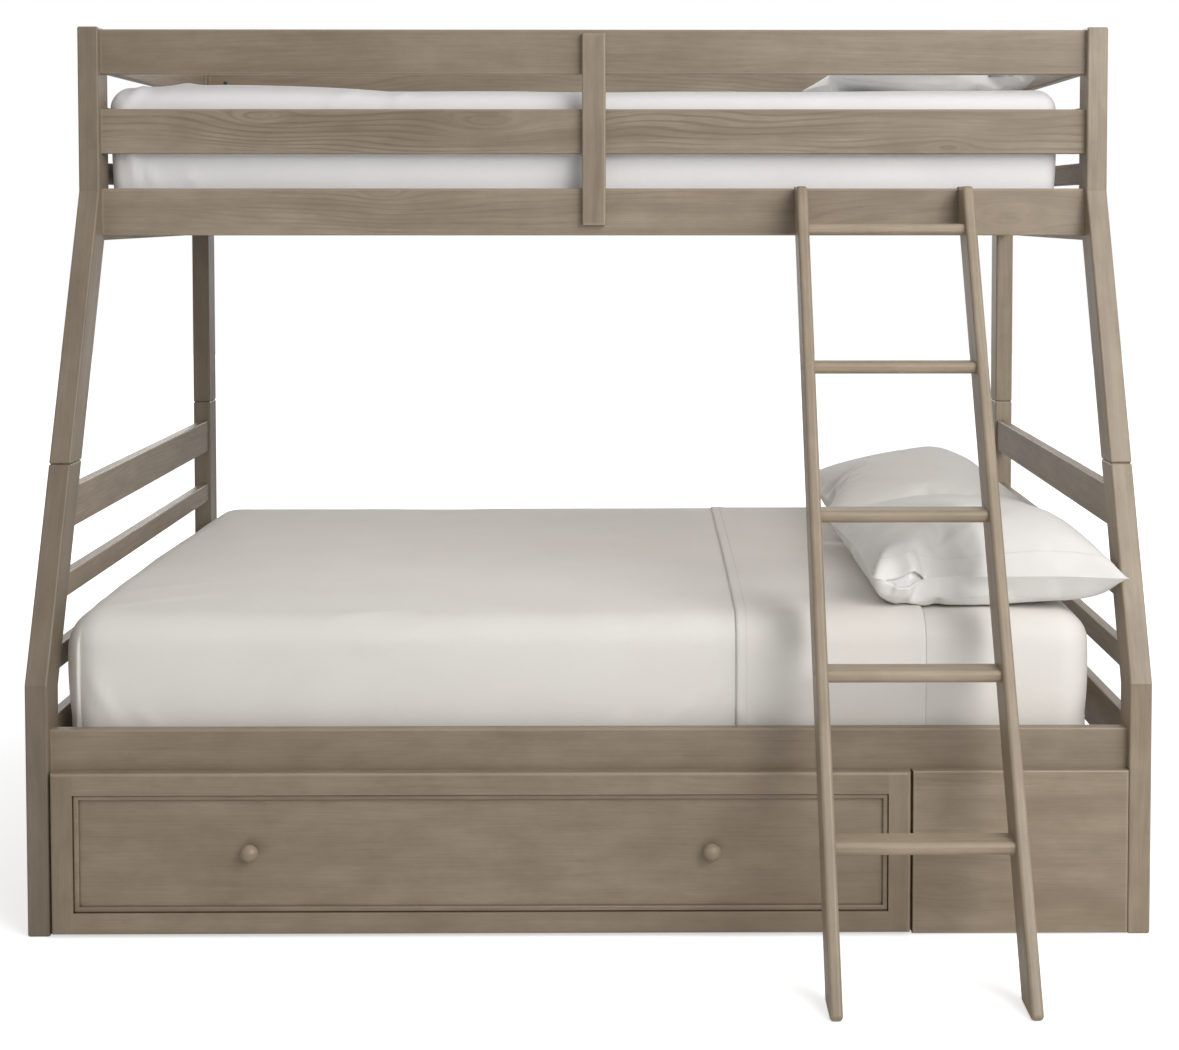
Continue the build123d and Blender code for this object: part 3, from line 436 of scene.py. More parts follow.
# Each node's tone, partly its own and partly painted light and shade, scales its stain colours
for number, (node, (grain, tone_and_light, figure)) in enumerate(stained.items()):
    tones = [toned(colour, tone_and_light) for colour in STAIN]
    cell, knots = board_cells.get(node), board_knots.get(node, ())
    # Drawer, knob and filler nodes get painted shade in their crevices, partly standing for gathered glaze
    worn, glazed_and_shaded = node in straight, node.startswith(("drawer", "knob", "filler"))
    paint(node, wood(node, grain, number + 1, tones, cell, knots, figure, worn=worn, glaze_and_shade=glazed_and_shaded))

# Grain of each plain node, with the axis and spacing of its boards
plain = {
    "stacking_dowels": ("Z", None),
    "upper_slats": ("Y", ("X", 0.1653)),
    "lower_slats": ("Y", ("X", 0.1653)),
    "upper_slat_ledges": ("X", ("Y", 0.4)),
    "lower_slat_ledges": ("X", ("Y", 0.4)),
    "centre_beam": ("X", None),
    "centre_legs": ("Z", ("X", 0.3)),
    "filler_cleat": ("Z", None),
    "drawer_side_left": ("Y", None),
    "drawer_side_right": ("Y", None),
    "drawer_back": ("X", None),
    "drawer_bottom": ("X", None),
}
for number, (node, (grain, cell)) in enumerate(plain.items()):
    paint(node, wood(node, grain, number + PLAIN_SEED, PINE, cell, figure=0.8, gloss=0.55))


def metal(name, colour, rough, metallic, scratch):
    """Plated or coated steel, or moulded plastic, with faint handling marks."""
    material, t, shader = new_material(name)
    at = t.node("TexCoord").outputs["Object"]
    marks = t.noise(at, 3.0, scale=900.0)
    cloud = t.noise(at, scale=60.0)
    worn = t.smooth(t.node("NewGeometry").outputs["Pointiness"], 0.52, 0.62)
    paler = tuple(min(1.0, c * 1.8 + 0.04) for c in colour[:3]) + (1.0,)
    t.put(shader.inputs["Base Color"], t.mix(t.mul(t.add(t.mul(marks, 0.3), worn), scratch), colour, paler))
    t.put(shader.inputs["Roughness"], t.ramp(cloud, 0.3, 0.7, rough - 0.07, rough + 0.08))
    shader.inputs["Metallic"].default_value = metallic
    t.put(shader.inputs["Normal"], t.bump(marks, 0.1, 0.0002))
    return material


black_steel = metal("black_steel", (0.018, 0.018, 0.018, 1.0), rough=0.42, metallic=0.0, scratch=0.3)
zinc_steel = metal("zinc_steel", (0.56, 0.56, 0.54, 1.0), rough=0.36, metallic=1.0, scratch=0.4)
caster_plastic = metal("caster_plastic", (0.03, 0.03, 0.032, 1.0), rough=0.5, metallic=0.0, scratch=0.25)
for node in ("rail_bolts", "barrel_nuts", "batten_bolts", "ladder_hooks", "ladder_bolts"):
    paint(node, black_steel)
for node in ("knob_screws", "caster_brackets", "caster_axles"):
    paint(node, zinc_steel)
for node in ("front_wheels", "rear_wheels"):
    paint(node, caster_plastic)


# Radians of weave for each metre of cloth
WEAVE = 2600.0


def cloth(name, colour, shade, crease):
    """Plain-woven cotton: crossing threads, slubs, soft creases and a little sheen."""
    material, t, shader = new_material(name)
    at = t.node("TexCoord").outputs["Object"]
    x, y, z = t.split(at)
    slope = t.split(t.node("NewGeometry").outputs["Normal"])
    lies_flat = t.smooth(t.math("ABSOLUTE", slope[2]), 0.45, 0.75)
    faces_end = t.smooth(t.math("ABSOLUTE", slope[0]), 0.6, 0.8)
    weft = t.math("SINE", t.mul(t.blend(faces_end, x, y), WEAVE))
    warp = t.math("SINE", t.mul(t.blend(lies_flat, z, y), WEAVE))
    slub_x = t.noise(t.join(t.mul(x, 30.0), t.mul(y, 900.0), t.mul(z, 900.0)))
    slub_y = t.noise(t.join(t.mul(x, 900.0), t.mul(y, 30.0), t.mul(z, 60.0)))
    slubs = t.mul(t.add(slub_x, slub_y), 0.5)
    cloud = t.noise(at, 3.0, scale=7.0)
    creased = t.noise(t.join(t.mul(x, 9.0), t.mul(y, 14.0), t.mul(z, 22.0)), 4.0, 0.62)
    mixed = t.mix(t.ramp(cloud, 0.3, 0.7, 0.0, 0.55), colour, shade)
    mixed = t.mix(t.ramp(slubs, 0.42, 0.62, 0.0, 0.3), mixed, shade)
    t.put(shader.inputs["Base Color"], mixed)
    shader.inputs["Roughness"].default_value = 0.72
    shader.inputs["Sheen Weight"].default_value = 0.12
    shader.inputs["Sheen Roughness"].default_value = 0.4
    shader.inputs["Specular IOR Level"].default_value = 0.3
    fine = t.bump(t.add(t.mul(t.mul(weft, warp), 0.4), slubs), 0.18, 0.0003)
    t.put(shader.inputs["Normal"], t.bump(creased, crease, 0.004, fine))
    return material


white_cotton = cloth("white_cotton", srgb(246, 246, 246), srgb(238, 238, 239), crease=0.2)
cream_cotton = cloth("cream_cotton", srgb(231, 228, 223), srgb(225, 221, 215), crease=0.16)
pillow_cotton = cloth("pillow_cotton", srgb(238, 237, 235), srgb(229, 227, 224), crease=0.14)
thread = cloth("thread", srgb(205, 200, 192), srgb(190, 184, 175), crease=0.1)


# Bedding
class Noise:
    """Smooth seeded value noise in three dimensions, from -1 to 1, that repeats after size cells."""

    size = 32

    def __init__(self, seed):
        self.values = np.random.default_rng(seed).uniform(-1, 1, (self.size,) * 3)

    def __call__(self, points, *scales):
        at = points * np.array(scales)
        cell = np.floor(at).astype(int)
        part = at - cell
        part = part**3 * (part * (part * 6 - 15) + 10)
        total = np.zeros(len(points))
        for corner in itertools.product((0, 1), repeat=3):
            weight = np.prod(np.where(corner, part, 1 - part), axis=1)
            i, j, k = ((cell + corner) % self.size).T
            total += weight * self.values[i, j, k]
        return total


def step(value, low, high):
    """0 below low and 1 above high, with a smooth rise between them."""
    share = np.clip((value - low) / (high - low), 0, 1)
    return share * share * (3 - 2 * share)


def shell(xs, ys, zs, sides):
    """Points and quads on some sides of a box that is divided at the given places."""
    axes = (xs, ys, zs)
    index, points, quads = {}, [], []

    def vertex(key):
        if key not in index:
            index[key] = len(points)
            points.append([axes[a][key[a]] for a in range(3)])
        return index[key]

    for axis, end in sides:
        u, v = [a for a in range(3) if a != axis]
        level = len(axes[axis]) - 1 if end > 0 else 0
        for i in range(len(axes[u]) - 1):
            for j in range(len(axes[v]) - 1):
                loop = []
                for di, dj in ((0, 0), (1, 0), (1, 1), (0, 1)):
                    key = [0, 0, 0]
                    key[axis], key[u], key[v] = level, i + di, j + dj
                    loop.append(vertex(tuple(key)))
                quads.append(loop if (end > 0) == (axis != 1) else loop[::-1])
    return np.array(points), quads, index


ALL_SIDES = [(axis, end) for axis in range(3) for end in (-1, 1)]
# How far a pad's sides are drawn in at their top and bottom, and how far in from the edge this fades out
DRAW, DRAW_REACH = 0.006, 0.2
# Length that counts as none
TINY = 1e-9
# Radius of a pad's top edges, radius of its corners, and the height of its crown
LOWER_FORM, UPPER_FORM = (0.055, 0.07, 0.009), (0.04, 0.035, 0.003)


def pad(points, half, form):
    """Box surface points moved to a pad: rounded in plan, rolled and crowned at the top, drawn-in sides."""
    roll, corner, crowned = form
    inner = half[:2] - corner
    flat = np.abs(points[:, :2])
    over = np.maximum(flat - inner, 0)
    length = np.maximum(np.linalg.norm(over, axis=1), TINY)
    over *= (over.max(axis=1) / length)[:, None]
    plan = np.minimum(flat, inner) + over
    past = plan - inner
    reach = np.linalg.norm(np.maximum(past, 0), axis=1)
    inside = corner - reach - np.minimum(past.max(axis=1), 0)
    way = np.maximum(past, 0) / np.maximum(reach, TINY)[:, None]
    nearest = np.eye(2)[past.argmax(axis=1)]
    way = np.where(reach[:, None] > TINY, way, nearest)
    below = half[2] - points[:, 2]
    on_top = below < TINY
    turn = np.where(on_top, 1 + np.minimum(inside / roll, 1), 1 - np.minimum(below / roll, 1)) * math.pi / 4
    rolled = np.where(on_top, inside < roll, below < roll)
    inset = np.where(rolled, roll * (1 - np.cos(turn)), inside)
    drop = np.where(rolled, roll * (1 - np.sin(turn)), below)
    height = np.clip(1 - drop / (2 * half[2] - roll), 0, 1)
    draw = DRAW * (2 * height - 1) ** 2 * np.clip(1 - inside / DRAW_REACH, 0, 1)
    plan = plan + way * (inside - inset - draw)[:, None]
    crown = crowned * (plan[:, 1] / half[1]) ** 2 * (1 - drop / (2 * half[2]))
    return np.column_stack([np.sign(points[:, :2]) * plan, half[2] - drop - crown])


def new_mesh(name, points, faces, material):
    mesh = bpy.data.meshes.new(name)
    mesh.from_pydata([tuple(p) for p in points], [], [tuple(f) for f in faces])
    mesh.materials.append(material)
    mesh.shade_smooth()
    return mesh


def new_piece(mesh, node, body="bed"):
    piece = bpy.data.objects.new(mesh.name, mesh)
    scene.collection.objects.link(piece)
    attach(piece, body)
    if node:
        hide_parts(node)
    return piece


def push_out(mesh, distances):
    """Points of a mesh moved along its own normals."""
    count = len(mesh.vertices)
    points, normals = np.empty(count * 3), np.empty(count * 3)
    mesh.vertices.foreach_get("co", points)
    mesh.vertices.foreach_get("normal", normals)
    moved = points.reshape(-1, 3) + normals.reshape(-1, 3) * distances[:, None]
    mesh.vertices.foreach_set("co", moved.ravel())
    mesh.update()


def creases(points, lines):
    """Soft ridges along straight lines, highest in the middle of each."""
    total = np.zeros(len(points))
    for start, end, width, height in lines:
        start, end = np.array(start), np.array(end)
        way = end - start
        along = np.clip((points - start) @ way / (way @ way), 0, 1)
        gap = np.linalg.norm(points - start - along[:, None] * way, axis=1)
        total += height * np.exp(-((gap / width) ** 2)) * 4 * along * (1 - along)
    return total


def bed_middle(node):
    """Middle of a node's box, and half its size."""
    low, high = (np.array(corner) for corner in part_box(node))
    return (low + high) / 2, (high - low) / 2


def swell(points, seed, size):
    """Slow unevenness of a bed's surface, in metres."""
    noise = Noise(seed)
    slow = noise(points, 2.3, 2.9, 3.0) + 0.5 * noise(points, 5.1, 6.3, 7.0)
    return size * (slow / 1.5 - 0.6) / 2


def spaced(low, high, cell):
    """Even places from low to high, about a cell apart."""
    return np.linspace(low, high, max(2, int(round((high - low) / cell))) + 1)


# How far a pad's surface is taken in, to leave room for a sheet
PAD_SINK = 0.0018


def make_mattress(node, name, material, form, uneven, lines, cell, spread):
    """Pad in place of a mattress. spread is how far its left and right ends bulge towards the end rails."""
    middle, half = bed_middle(node)
    middle[0] += (spread[1] - spread[0]) / 2
    half[0] += (spread[0] + spread[1]) / 2
    points, quads = shell(*(spaced(-h, h, cell) for h in half), ALL_SIDES)[:2]
    points = pad(points, half, form) + middle
    mesh = new_mesh(name, points, quads, material)
    top = np.clip((points[:, 2] - middle[2]) / half[2] + 1, 0, 1)
    push_out(mesh, (swell(points, *uneven) + creases(points, lines) - PAD_SINK) * top)
    new_piece(mesh, node)
    return mesh


# Seed and size of the unevenness of each bed
LOWER_UNEVEN, UPPER_UNEVEN = (3, 0.006), (5, 0.009)
# Creases of the upper pad: start and end from its low corner, width and height
upper_corner = np.array(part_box("upper_mattress")[0])
upper_lines = []
for start, end, width, height in (
    ((0.05, 0.0, 0.01), (0.03, 0.0, 0.2), 0.011, 0.01),
    ((0.1, 0.0, 0.0), (0.06, 0.0, 0.12), 0.01, 0.007),
    ((0.19, 0.0, 0.0), (0.14, 0.0, 0.1), 0.012, 0.005),
    ((0.0, 0.0, 0.17), (0.07, 0.03, 0.26), 0.011, 0.012),
    ((0.03, 0.0, 0.17), (0.17, 0.06, 0.26), 0.014, 0.01),
    ((0.0, 0.05, 0.18), (0.1, 0.16, 0.25), 0.012, 0.008),
    ((0.42, 0.0, 0.2), (0.5, 0.03, 0.25), 0.012, 0.004),
    ((0.55, 0.0, 0.21), (0.6, 0.03, 0.25), 0.012, 0.004),
    ((-0.1, 0.0, 0.24), (0.55, 0.05, 0.25), 0.11, 0.014),
):
    upper_lines.append((upper_corner + start, upper_corner + end, width, height))
# Creases at the lower pad's right front corner: height above its underside, and width
lower_lines = []
lower_low, lower_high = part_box("lower_mattress")
for height, width in ((0.2, 0.008), (0.178, 0.007), (0.16, 0.007), (0.138, 0.009), (0.1, 0.012)):
    place = np.array([lower_high.x, lower_low.y, lower_low.z + height])
    lower_lines.append((place + [-0.06, -0.01, -0.012], place + [0.0, 0.14, 0.012], width, 0.006))
# Form, unevenness, creases, size of the cells, and bulge of the left and right ends
lower_bed = (LOWER_FORM, LOWER_UNEVEN, lower_lines, 0.014, (0, 0))
upper_bed = (UPPER_FORM, UPPER_UNEVEN, upper_lines, 0.01, (0.014, 0.008))
lower_pad = make_mattress("lower_mattress", "lower_bed_pad", cream_cotton, *lower_bed)
upper_pad = make_mattress("upper_mattress", "upper_bed_pad", white_cotton, *upper_bed)


def stitches(name, line, normals, length=0.0034, gap=0.0018, width=0.0011, rise=0.0006, first=0.002):
    """Thread that shows as a row of short stitches along a line on cloth."""
    steps = np.concatenate([[0], np.cumsum(np.linalg.norm(np.diff(line, axis=0), axis=1))])

    def at(places, values):
        return np.stack([np.interp(places, steps, values[:, a]) for a in range(3)], 1)

    starts = np.arange(first, steps[-1] - length, length + gap)
    a, b, middle = at(starts, line), at(starts + length, line), at(starts + length / 2, line)
    up = at(starts + length / 2, normals)
    side = np.cross(b - a, up)
    side *= (width / 2 / np.linalg.norm(side, axis=1))[:, None]
    corners = np.stack([a, b, middle + side, middle - side, middle + up * rise, middle - up * rise], 1)
    faces = []
    for k in range(len(starts)):
        for end, order in ((0, (2, 4, 3, 5)), (1, (5, 3, 4, 2))):
            for one, two in zip(order, order[1:] + order[:1]):
                faces.append((6 * k + end, 6 * k + one, 6 * k + two))
    return new_mesh(name, corners.reshape(-1, 3), faces, thread)


# Places of the cuff's hem and of the fold at the foot, along the bed
CUFF_HEM, FOOT_FOLD = 0.268, -0.938
# Size of the sheet's cells, and room left for the turn of the fold
SHEET_CELL, FOLD_ROOM = 0.0105, 0.003
# Extra columns of cells at the fold at the foot, from the left end of the mattress
FOOT_COLUMNS = (0.0165, 0.019, 0.0207, 0.022, 0.0245)
# Width and size of the finer cells of the hem, and where the usual cells start again
FINE_WIDTH, FINE_CELL, FINE_END = 0.026, 0.0065, 0.034
# Width of the doubled hem, how far it stands up, and the place and lift of its stitches
HEM_WIDTH, HEM_LIFT, STITCH_PLACE, STITCH_LIFT = 0.028, 0.0009, 0.0195, 0.0011
# Heights of the sheet, the cuff and the turn between them, and the thickness of the cloth
SHEET_LIFT, CUFF_LIFT, TURN_LIFT, SHEET_THICK = 0.0018, 0.0040, 0.0029, 0.001
# Height of the fold at the foot, size and seed of the waves in the hanging side, and how far they may sink
FOOT_HEIGHT, WAVE_SIZE, WAVE_SEED, MOST_SUNK = 0.005, 0.0022, 8, 0.0008


def make_sheet():
    """Top sheet over the mattress and its foot, folded back at the head as a cuff with a stitched hem."""
    middle, half = bed_middle("lower_mattress")
    low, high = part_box("top_sheet")
    fold, hem = high.x - middle[0], low.z - middle[2]
    ys, zs = spaced(-half[1], half[1], SHEET_CELL), spaced(hem, half[2], SHEET_CELL)
    foot_columns = np.array(FOOT_COLUMNS) - half[0]
    xs = np.unique(np.concatenate([spaced(-half[0], fold - FOLD_ROOM, SHEET_CELL), foot_columns]))
    hem_x = CUFF_HEM - middle[0]
    hem_columns = spaced(hem_x, hem_x + FINE_WIDTH, FINE_CELL)
    cuff_xs = np.concatenate([hem_columns, spaced(hem_x + FINE_END, fold - FOLD_ROOM, SHEET_CELL)])
    sides = [(1, -1), (1, 1), (2, 1)]
    points, quads, index = shell(xs, ys, zs, sides + [(0, -1)])
    cuff_points, cuff_quads, cuff_index = shell(cuff_xs, ys, zs, sides)
    cuff_start = len(points)
    quads = quads + [[v + cuff_start for v in q] for q in cuff_quads]
    points = np.concatenate([points, cuff_points])
    turn_start = len(points)
    seam = {}
    for (i, j, k), vertex in index.items():
        if i == len(xs) - 1:
            seam[j, k] = (vertex, cuff_index[len(cuff_xs) - 1, j, k] + cuff_start)
    rim = {key: turn_start + n for n, key in enumerate(seam)}
    rim_points = points[[seam[key][0] for key in seam]].copy()
    rim_points[:, 0] = fold
    points = np.concatenate([points, rim_points])
    last = len(ys) - 1, len(zs) - 1
    around = [(0, k) for k in range(last[1])] + [(j, last[1]) for j in range(last[0])]
    around += [(last[0], k) for k in range(last[1], -1, -1)]
    for one, two in zip(around, around[1:]):
        quads.append([seam[one][0], rim[one], rim[two], seam[two][0]][::-1])
        quads.append([rim[one], seam[one][1], seam[two][1], rim[two]][::-1])
    points = pad(points, half, LOWER_FORM) + middle
    mesh = new_mesh("bed_sheet", points, quads, cream_cotton)
    x, y, z = points.T
    lift = np.full(len(points), SHEET_LIFT)
    lift[cuff_start:] = CUFF_LIFT
    lift[turn_start:] = TURN_LIFT
    hemmed = np.zeros(len(points), bool)
    hemmed[cuff_start:turn_start] = x[cuff_start:turn_start] < CUFF_HEM + HEM_WIDTH
    lift += np.where(hemmed, HEM_LIFT, 0)
    front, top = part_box("lower_mattress")[0].y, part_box("lower_mattress")[1].z
    deck = low.z
    # Creases: start, end, width and height
    lines = [
        ((0.12, front, deck), (0.2, front, deck + 0.08), 0.01, 0.005),
        ((0.17, front, deck), (0.24, front, deck + 0.11), 0.009, 0.005),
        ((0.3, front, deck), (0.262, front, deck + 0.07), 0.009, 0.004),
        ((0.02, front, deck), (0.07, front, deck + 0.05), 0.01, 0.003),
        ((-0.86, front, deck), (-0.92, front, deck + 0.13), 0.012, 0.004),
        ((-0.78, front, deck), (-0.84, front, deck + 0.06), 0.01, 0.003),
        ((-0.5, front + 0.03, top - 0.02), (-0.32, front + 0.06, top - 0.012), 0.012, 0.004),
        ((-0.44, front, top - 0.07), (-0.3, front + 0.02, top - 0.04), 0.013, 0.0035),
        ((-0.94, front + 0.05, top - 0.02), (-0.7, front + 0.2, top), 0.014, 0.005),
        ((-0.96, front + 0.16, top - 0.02), (-0.68, front + 0.34, top), 0.016, 0.004),
        ((-0.6, front + 0.3, top), (-0.25, front + 0.36, top), 0.018, 0.003),
        ((-0.2, front + 0.5, top), (0.12, front + 0.62, top), 0.02, 0.003),
        ((0.1, front + 0.02, top - 0.03), (0.26, front + 0.3, top), 0.02, 0.0032),
        ((0.35, front + 0.02, top - 0.04), (0.5, front + 0.25, top), 0.016, 0.0035),
        ((0.42, front + 0.01, top - 0.05), (0.56, front + 0.12, top - 0.01), 0.014, 0.0035),
    ]
    on_front = step(front + 0.08 - y, 0, 0.05)
    over_foot = step(FOOT_FOLD - x, -0.0014, 0.0014)
    fold_over = FOOT_HEIGHT * on_front * over_foot * step(top - 0.02 - z, 0, 0.06)
    waves = Noise(WAVE_SEED)(points * [1, 0, 0.25], 9.0, 1.0, 6.0)
    hangs = waves * WAVE_SIZE * step(top - 0.06 - z, 0, 0.12)
    top_share = np.clip((z - middle[2]) / half[2] + 1, 0, 1)
    uneven = swell(points, *LOWER_UNEVEN) * top_share
    push_out(mesh, lift + uneven + np.maximum(creases(points, lines) + fold_over + hangs, -MOST_SUNK))
    piece = new_piece(mesh, "top_sheet")
    solid = piece.modifiers.new("thickness", "SOLIDIFY")
    solid.thickness = SHEET_THICK
    solid.offset = 1.0
    column = int(np.argmin(np.abs(cuff_xs - hem_x - STITCH_PLACE)))
    row = [cuff_index[column, j, k] + cuff_start for j, k in around]
    line = np.array([mesh.vertices[v].co for v in row])
    normals = np.array([mesh.vertices[v].normal for v in row])
    hem_thread = stitches("cuff_stitches", line + normals * STITCH_LIFT, normals)
    thread_row = new_piece(hem_thread, None)
    return mesh


sheet = make_sheet()


# Width and length of the flat case, and the size of its cells
BAG_WIDTH, BAG_LENGTH, BAG_CELL = 0.515, 0.68, 0.0105
# How far each layer starts from the middle, and its roughness
LAYER_LIFT, BAG_ROUGH = 0.004, 0.0004
# Shares of the near end's width between which the mouth is open, and the row of cells that the hem follows
MOUTH, HEM_ROW = (0.07, 0.28), 4
# Height that the case starts from, and the frames and pressure that fill it
BAG_START, FILL_FRAMES, FILL_PRESSURE = 0.03, 27, 3.1
# Distance from the near end where the pressure starts, and over which it rises
FILL_START, FILL_RISE = 0.012, 0.05


def flat_bag():
    """Two layers of cloth sewn together round their edges, but for a mouth in the near end."""
    columns, rows = round(BAG_WIDTH / BAG_CELL), round(BAG_LENGTH / BAG_CELL)
    xs = spaced(-BAG_WIDTH / 2, BAG_WIDTH / 2, BAG_CELL)
    ys = spaced(-BAG_LENGTH / 2, BAG_LENGTH / 2, BAG_CELL)
    chance = np.random.default_rng(4)
    index, points, faces = {}, [], []

    def vertex(side, i, j):
        in_mouth = j == 0 and MOUTH[0] <= i / columns <= MOUTH[1]
        sewn = i in (0, columns) or j in (0, rows) and not in_mouth
        key = (0 if sewn else side, i, j)
        if key not in index:
            index[key] = len(points)
            level = 0 if sewn else side * LAYER_LIFT
            points.append((xs[i], ys[j], level + chance.uniform(-1, 1) * BAG_ROUGH))
        return index[key]

    for side in (1, -1):
        for i in range(columns):
            for j in range(rows):
                loop = [vertex(side, i + di, j + dj) for di, dj in ((0, 0), (1, 0), (1, 1), (0, 1))]
                faces.append(loop if side > 0 else loop[::-1])
    hem = [[index[side, i, HEM_ROW] for i in range(1, columns)] for side in (1, -1)]
    mouth = [(index[1, i, 0], index[-1, i, 0]) for i in range(columns) if (-1, i, 0) in index]
    seam = [number for (side, i, j), number in index.items() if side == 0]
    return np.array(points), faces, hem, mouth, seam


def fill_bag():
    """The flat bag filled by pressure where it lies on a seat, with its hem, mouth and seam vertices."""
    points, faces, *places = flat_bag()
    mesh = new_mesh("bag", points, faces, pillow_cotton)
    bag = bpy.data.objects.new("bag", mesh)
    scene.collection.objects.link(bag)
    bag.location.z = BAG_START
    corners = [(-1, -1, 0), (1, -1, 0), (1, 1, 0), (-1, 1, 0)]
    seat_mesh = new_mesh("seat", corners, [(0, 1, 2, 3)], pillow_cotton)
    seat = bpy.data.objects.new("seat", seat_mesh)
    scene.collection.objects.link(seat)
    seat.modifiers.new("seat", "COLLISION")
    seat.collision.thickness_outer = 0.002
    filled = bag.vertex_groups.new(name="filled")
    for number, place in enumerate(points[:, 1]):
        share = np.clip((place + BAG_LENGTH / 2 - FILL_START) / FILL_RISE, 0, 1)
        filled.add([number], float(share), "REPLACE")
    soft = bag.modifiers.new("fill", "CLOTH")
    settings = soft.settings
    settings.quality = 6
    settings.mass = 0.02
    settings.tension_stiffness = settings.compression_stiffness = 15
    settings.shear_stiffness = 8
    settings.bending_stiffness = 0.9
    settings.air_damping = 2.0
    settings.use_pressure = True
    settings.uniform_pressure_force = FILL_PRESSURE
    settings.vertex_group_pressure = "filled"
    settings.effector_weights.gravity = 0.3
    soft.collision_settings.distance_min = 0.002
    soft.collision_settings.use_self_collision = False
    for number in range(1, FILL_FRAMES + 1):
        scene.frame_set(number)
    settled = bag.evaluated_get(bpy.context.evaluated_depsgraph_get())
    result = np.array([v.co for v in settled.data.vertices])
    scene.frame_set(1)
    for helper in (bag, seat):
        bpy.data.objects.remove(helper)
    return result, faces, *places


# Height, over the whole bed, from which rays are cast down
RAY_START = 3.0


def rest_on(points, meshes, gap=0.003):
    """Points lifted clear of what lies under them."""
    for mesh in meshes:
        tree = BVHTree.FromPolygons([v.co for v in mesh.vertices], [list(p.vertices) for p in mesh.polygons])
        for point in points:
            place = tree.ray_cast((point[0], point[1], RAY_START), (0, 0, -1))[0]
            if place:
                point[2] = max(point[2], place.z + gap)


# How far back the front posts go for each metre up, rounded up, and the gaps to their front and their side
POST_SLOPE, POST_FRONT_GAP, POST_SIDE_GAP = 0.45, 0.006, 0.004


def beside_post(points):
    """Points kept off the right front post: in front of its slope, or on its near side."""
    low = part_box("lower_post_front_right")[0]
    face = low.y + POST_SLOPE * np.maximum(points[:, 2] - POST_KINK[0], 0)
    behind = points[:, 1] > face - POST_FRONT_GAP
    points[behind, 0] = np.minimum(points[behind, 0], low.x - POST_SIDE_GAP)


# Gap from a case to its solid's box, thickness of its cloth, inset of its insert, and lift of its thread
CASE_GAP, CASE_THICK, INSERT_INSET, THREAD_LIFT = 0.001, 0.0014, 0.005, 0.0004
# Size of the part that hangs at the free corner and at the front edge, and its way for each metre of reach
CORNER_SIZE, CORNER_WAY = 0.16, (0.8, -0.6, -0.1)
DROOP_SIZE, DROOP_WAY = 0.2, (0, -0.4, -0.3)


def off(place, middle, width):
    """Squared distance from a middle, counted in widths."""
    return ((place - middle) / width) ** 2


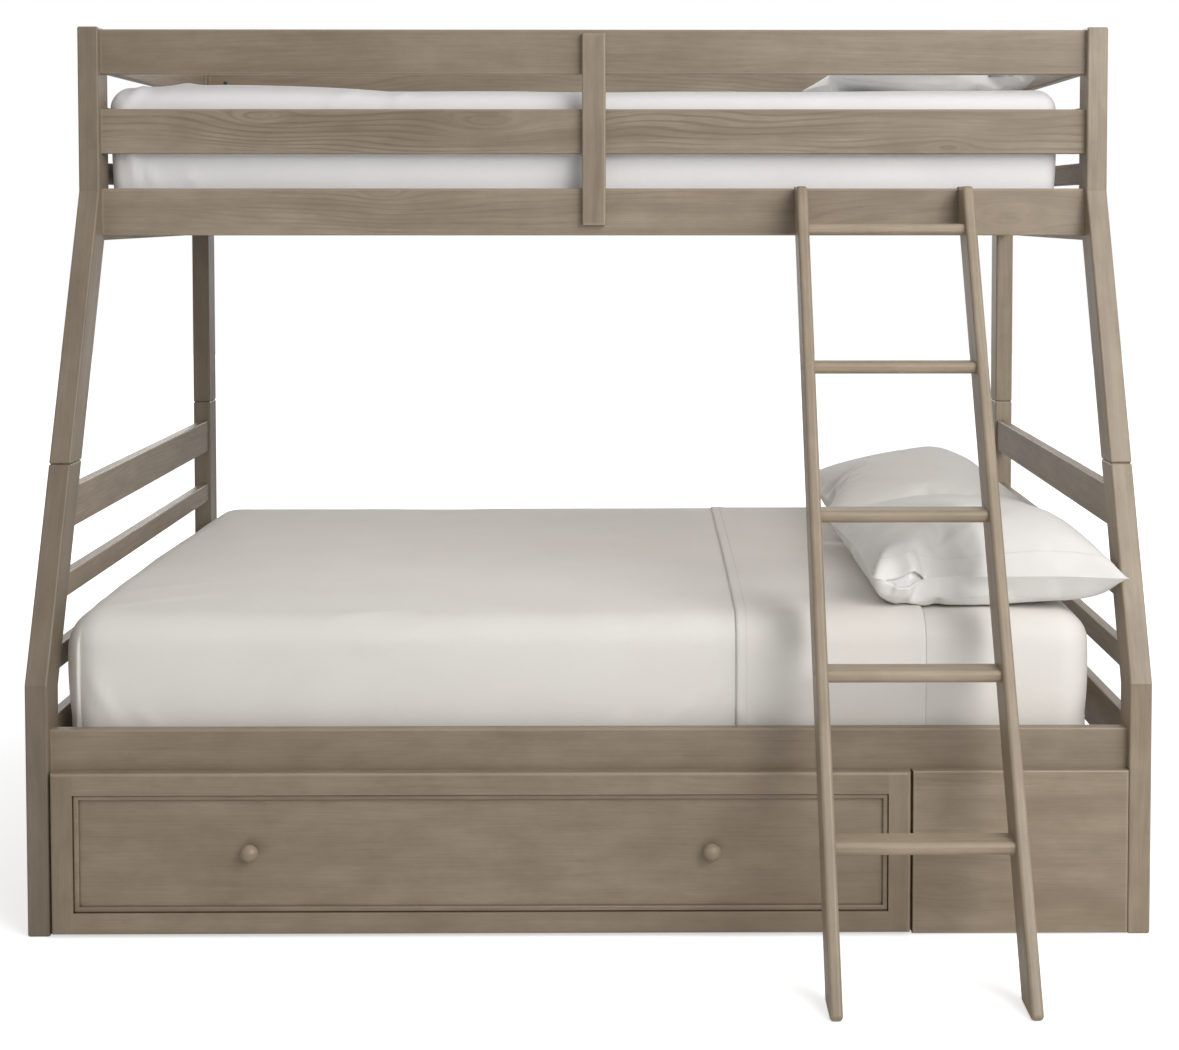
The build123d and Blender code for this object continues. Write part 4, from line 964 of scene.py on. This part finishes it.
def shape_pillow(node, bag_points, turn, dent, reach, shift):
    """Points of the filled case at a pillow's place: dented, hung out at its free corner and shifted."""
    low, high = (np.array(corner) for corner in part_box(node))
    points = bag_points * [turn[0], turn[1], 1]
    small, large = points.min(axis=0), points.max(axis=0)
    share = (points - small) / (large - small)
    across, along = share[:, 0] - 0.5, share[:, 1] - 0.5
    arc = along + 0.29 - 1.1 * (across + 0.12) ** 2
    hollow = np.exp(-off(across, -0.12, 0.2) - off(arc, 0, 0.05))
    share[:, 2] -= dent * hollow * step(share[:, 2], 0.35, 0.7)
    points = low + CASE_GAP + share * (high - low - 2 * CASE_GAP)
    from_corner = np.hypot(points[:, 0] - high[0], points[:, 1] - low[1])
    corner = np.exp(-off(from_corner, 0, CORNER_SIZE))
    droop = step(low[1] + DROOP_SIZE - points[:, 1], 0, DROOP_SIZE)
    plump = np.exp(-off(across, 0.28, 0.2) - off(along, -0.28, 0.2)) * step(share[:, 2], 0.3, 0.6)
    slack = np.exp(-off(across, 0.3, 0.16) - off(along, -0.48, 0.06)) * step(0.35 - share[:, 2], 0, 0.1)
    points += reach * (corner[:, None] * CORNER_WAY + droop[:, None] * DROOP_WAY)
    points[:, 0] += shift
    points[:, 2] += reach * (0.8 * plump - 0.6 * slack)
    return points


def make_pillow(node, name, bag, turn, beds, dent, reach=0, shift=0):
    """A filled case in place of a pillow, with its stitches and its insert. turn is the sign of its X and Y,
    dent the share of its height that its hollow takes, reach how far it hangs out and shift how far it
    lies towards the right end."""
    bag_points, faces, hem, mouth, seam = bag
    if turn[0] * turn[1] < 0:
        faces = [face[::-1] for face in faces]
    points = shape_pillow(node, bag_points, turn, dent, reach, shift)
    rest_on(points, beds)
    beside_post(points)
    mesh = new_mesh(name, points, faces, pillow_cotton)
    sewn = np.zeros(len(points), bool)
    sewn[seam] = True
    on_seam = [bool(sewn[list(edge.vertices)].all()) for edge in mesh.edges]
    mesh.attributes.new("sharp_edge", "BOOLEAN", "EDGE").data.foreach_set("value", on_seam)
    mesh.attributes.new("crease_edge", "FLOAT", "EDGE").data.foreach_set("value", np.array(on_seam, float))
    rows = []
    for row in hem:
        line = np.array([mesh.vertices[v].co for v in row])
        normals = np.array([mesh.vertices[v].normal for v in row])
        rows.append((line + normals * THREAD_LIFT, normals))
    piece = new_piece(mesh, node)
    rounded = piece.modifiers.new("rounded", "SUBSURF")
    rounded.levels = rounded.render_levels = 1
    solid = piece.modifiers.new("thickness", "SOLIDIFY")
    solid.thickness = CASE_THICK
    solid.offset = -1.0
    for side, (line, normals) in zip(("top", "under"), rows):
        new_piece(stitches(f"{name}_stitches_{side}", line, normals), None)
    inner = points.copy()
    for upper, under in mouth:
        inner[[upper, under]] = (inner[upper] + inner[under]) / 2
    insert = new_mesh(f"{name}_insert", inner, faces, white_cotton)
    push_out(insert, np.full(len(points), -INSERT_INSET))
    new_piece(insert, None)


filled_bag = fill_bag()
make_pillow("pillow_front", "cushion_front", filled_bag, (1, 1), (lower_pad, sheet), dent=0.1, reach=0.032)
make_pillow("pillow_rear", "cushion_rear", filled_bag, (-1, -1), (lower_pad, sheet), dent=0.03)
make_pillow("pillow_upper", "cushion_upper", filled_bag, (-1, 1), (upper_pad,), dent=0.0, shift=0.032)
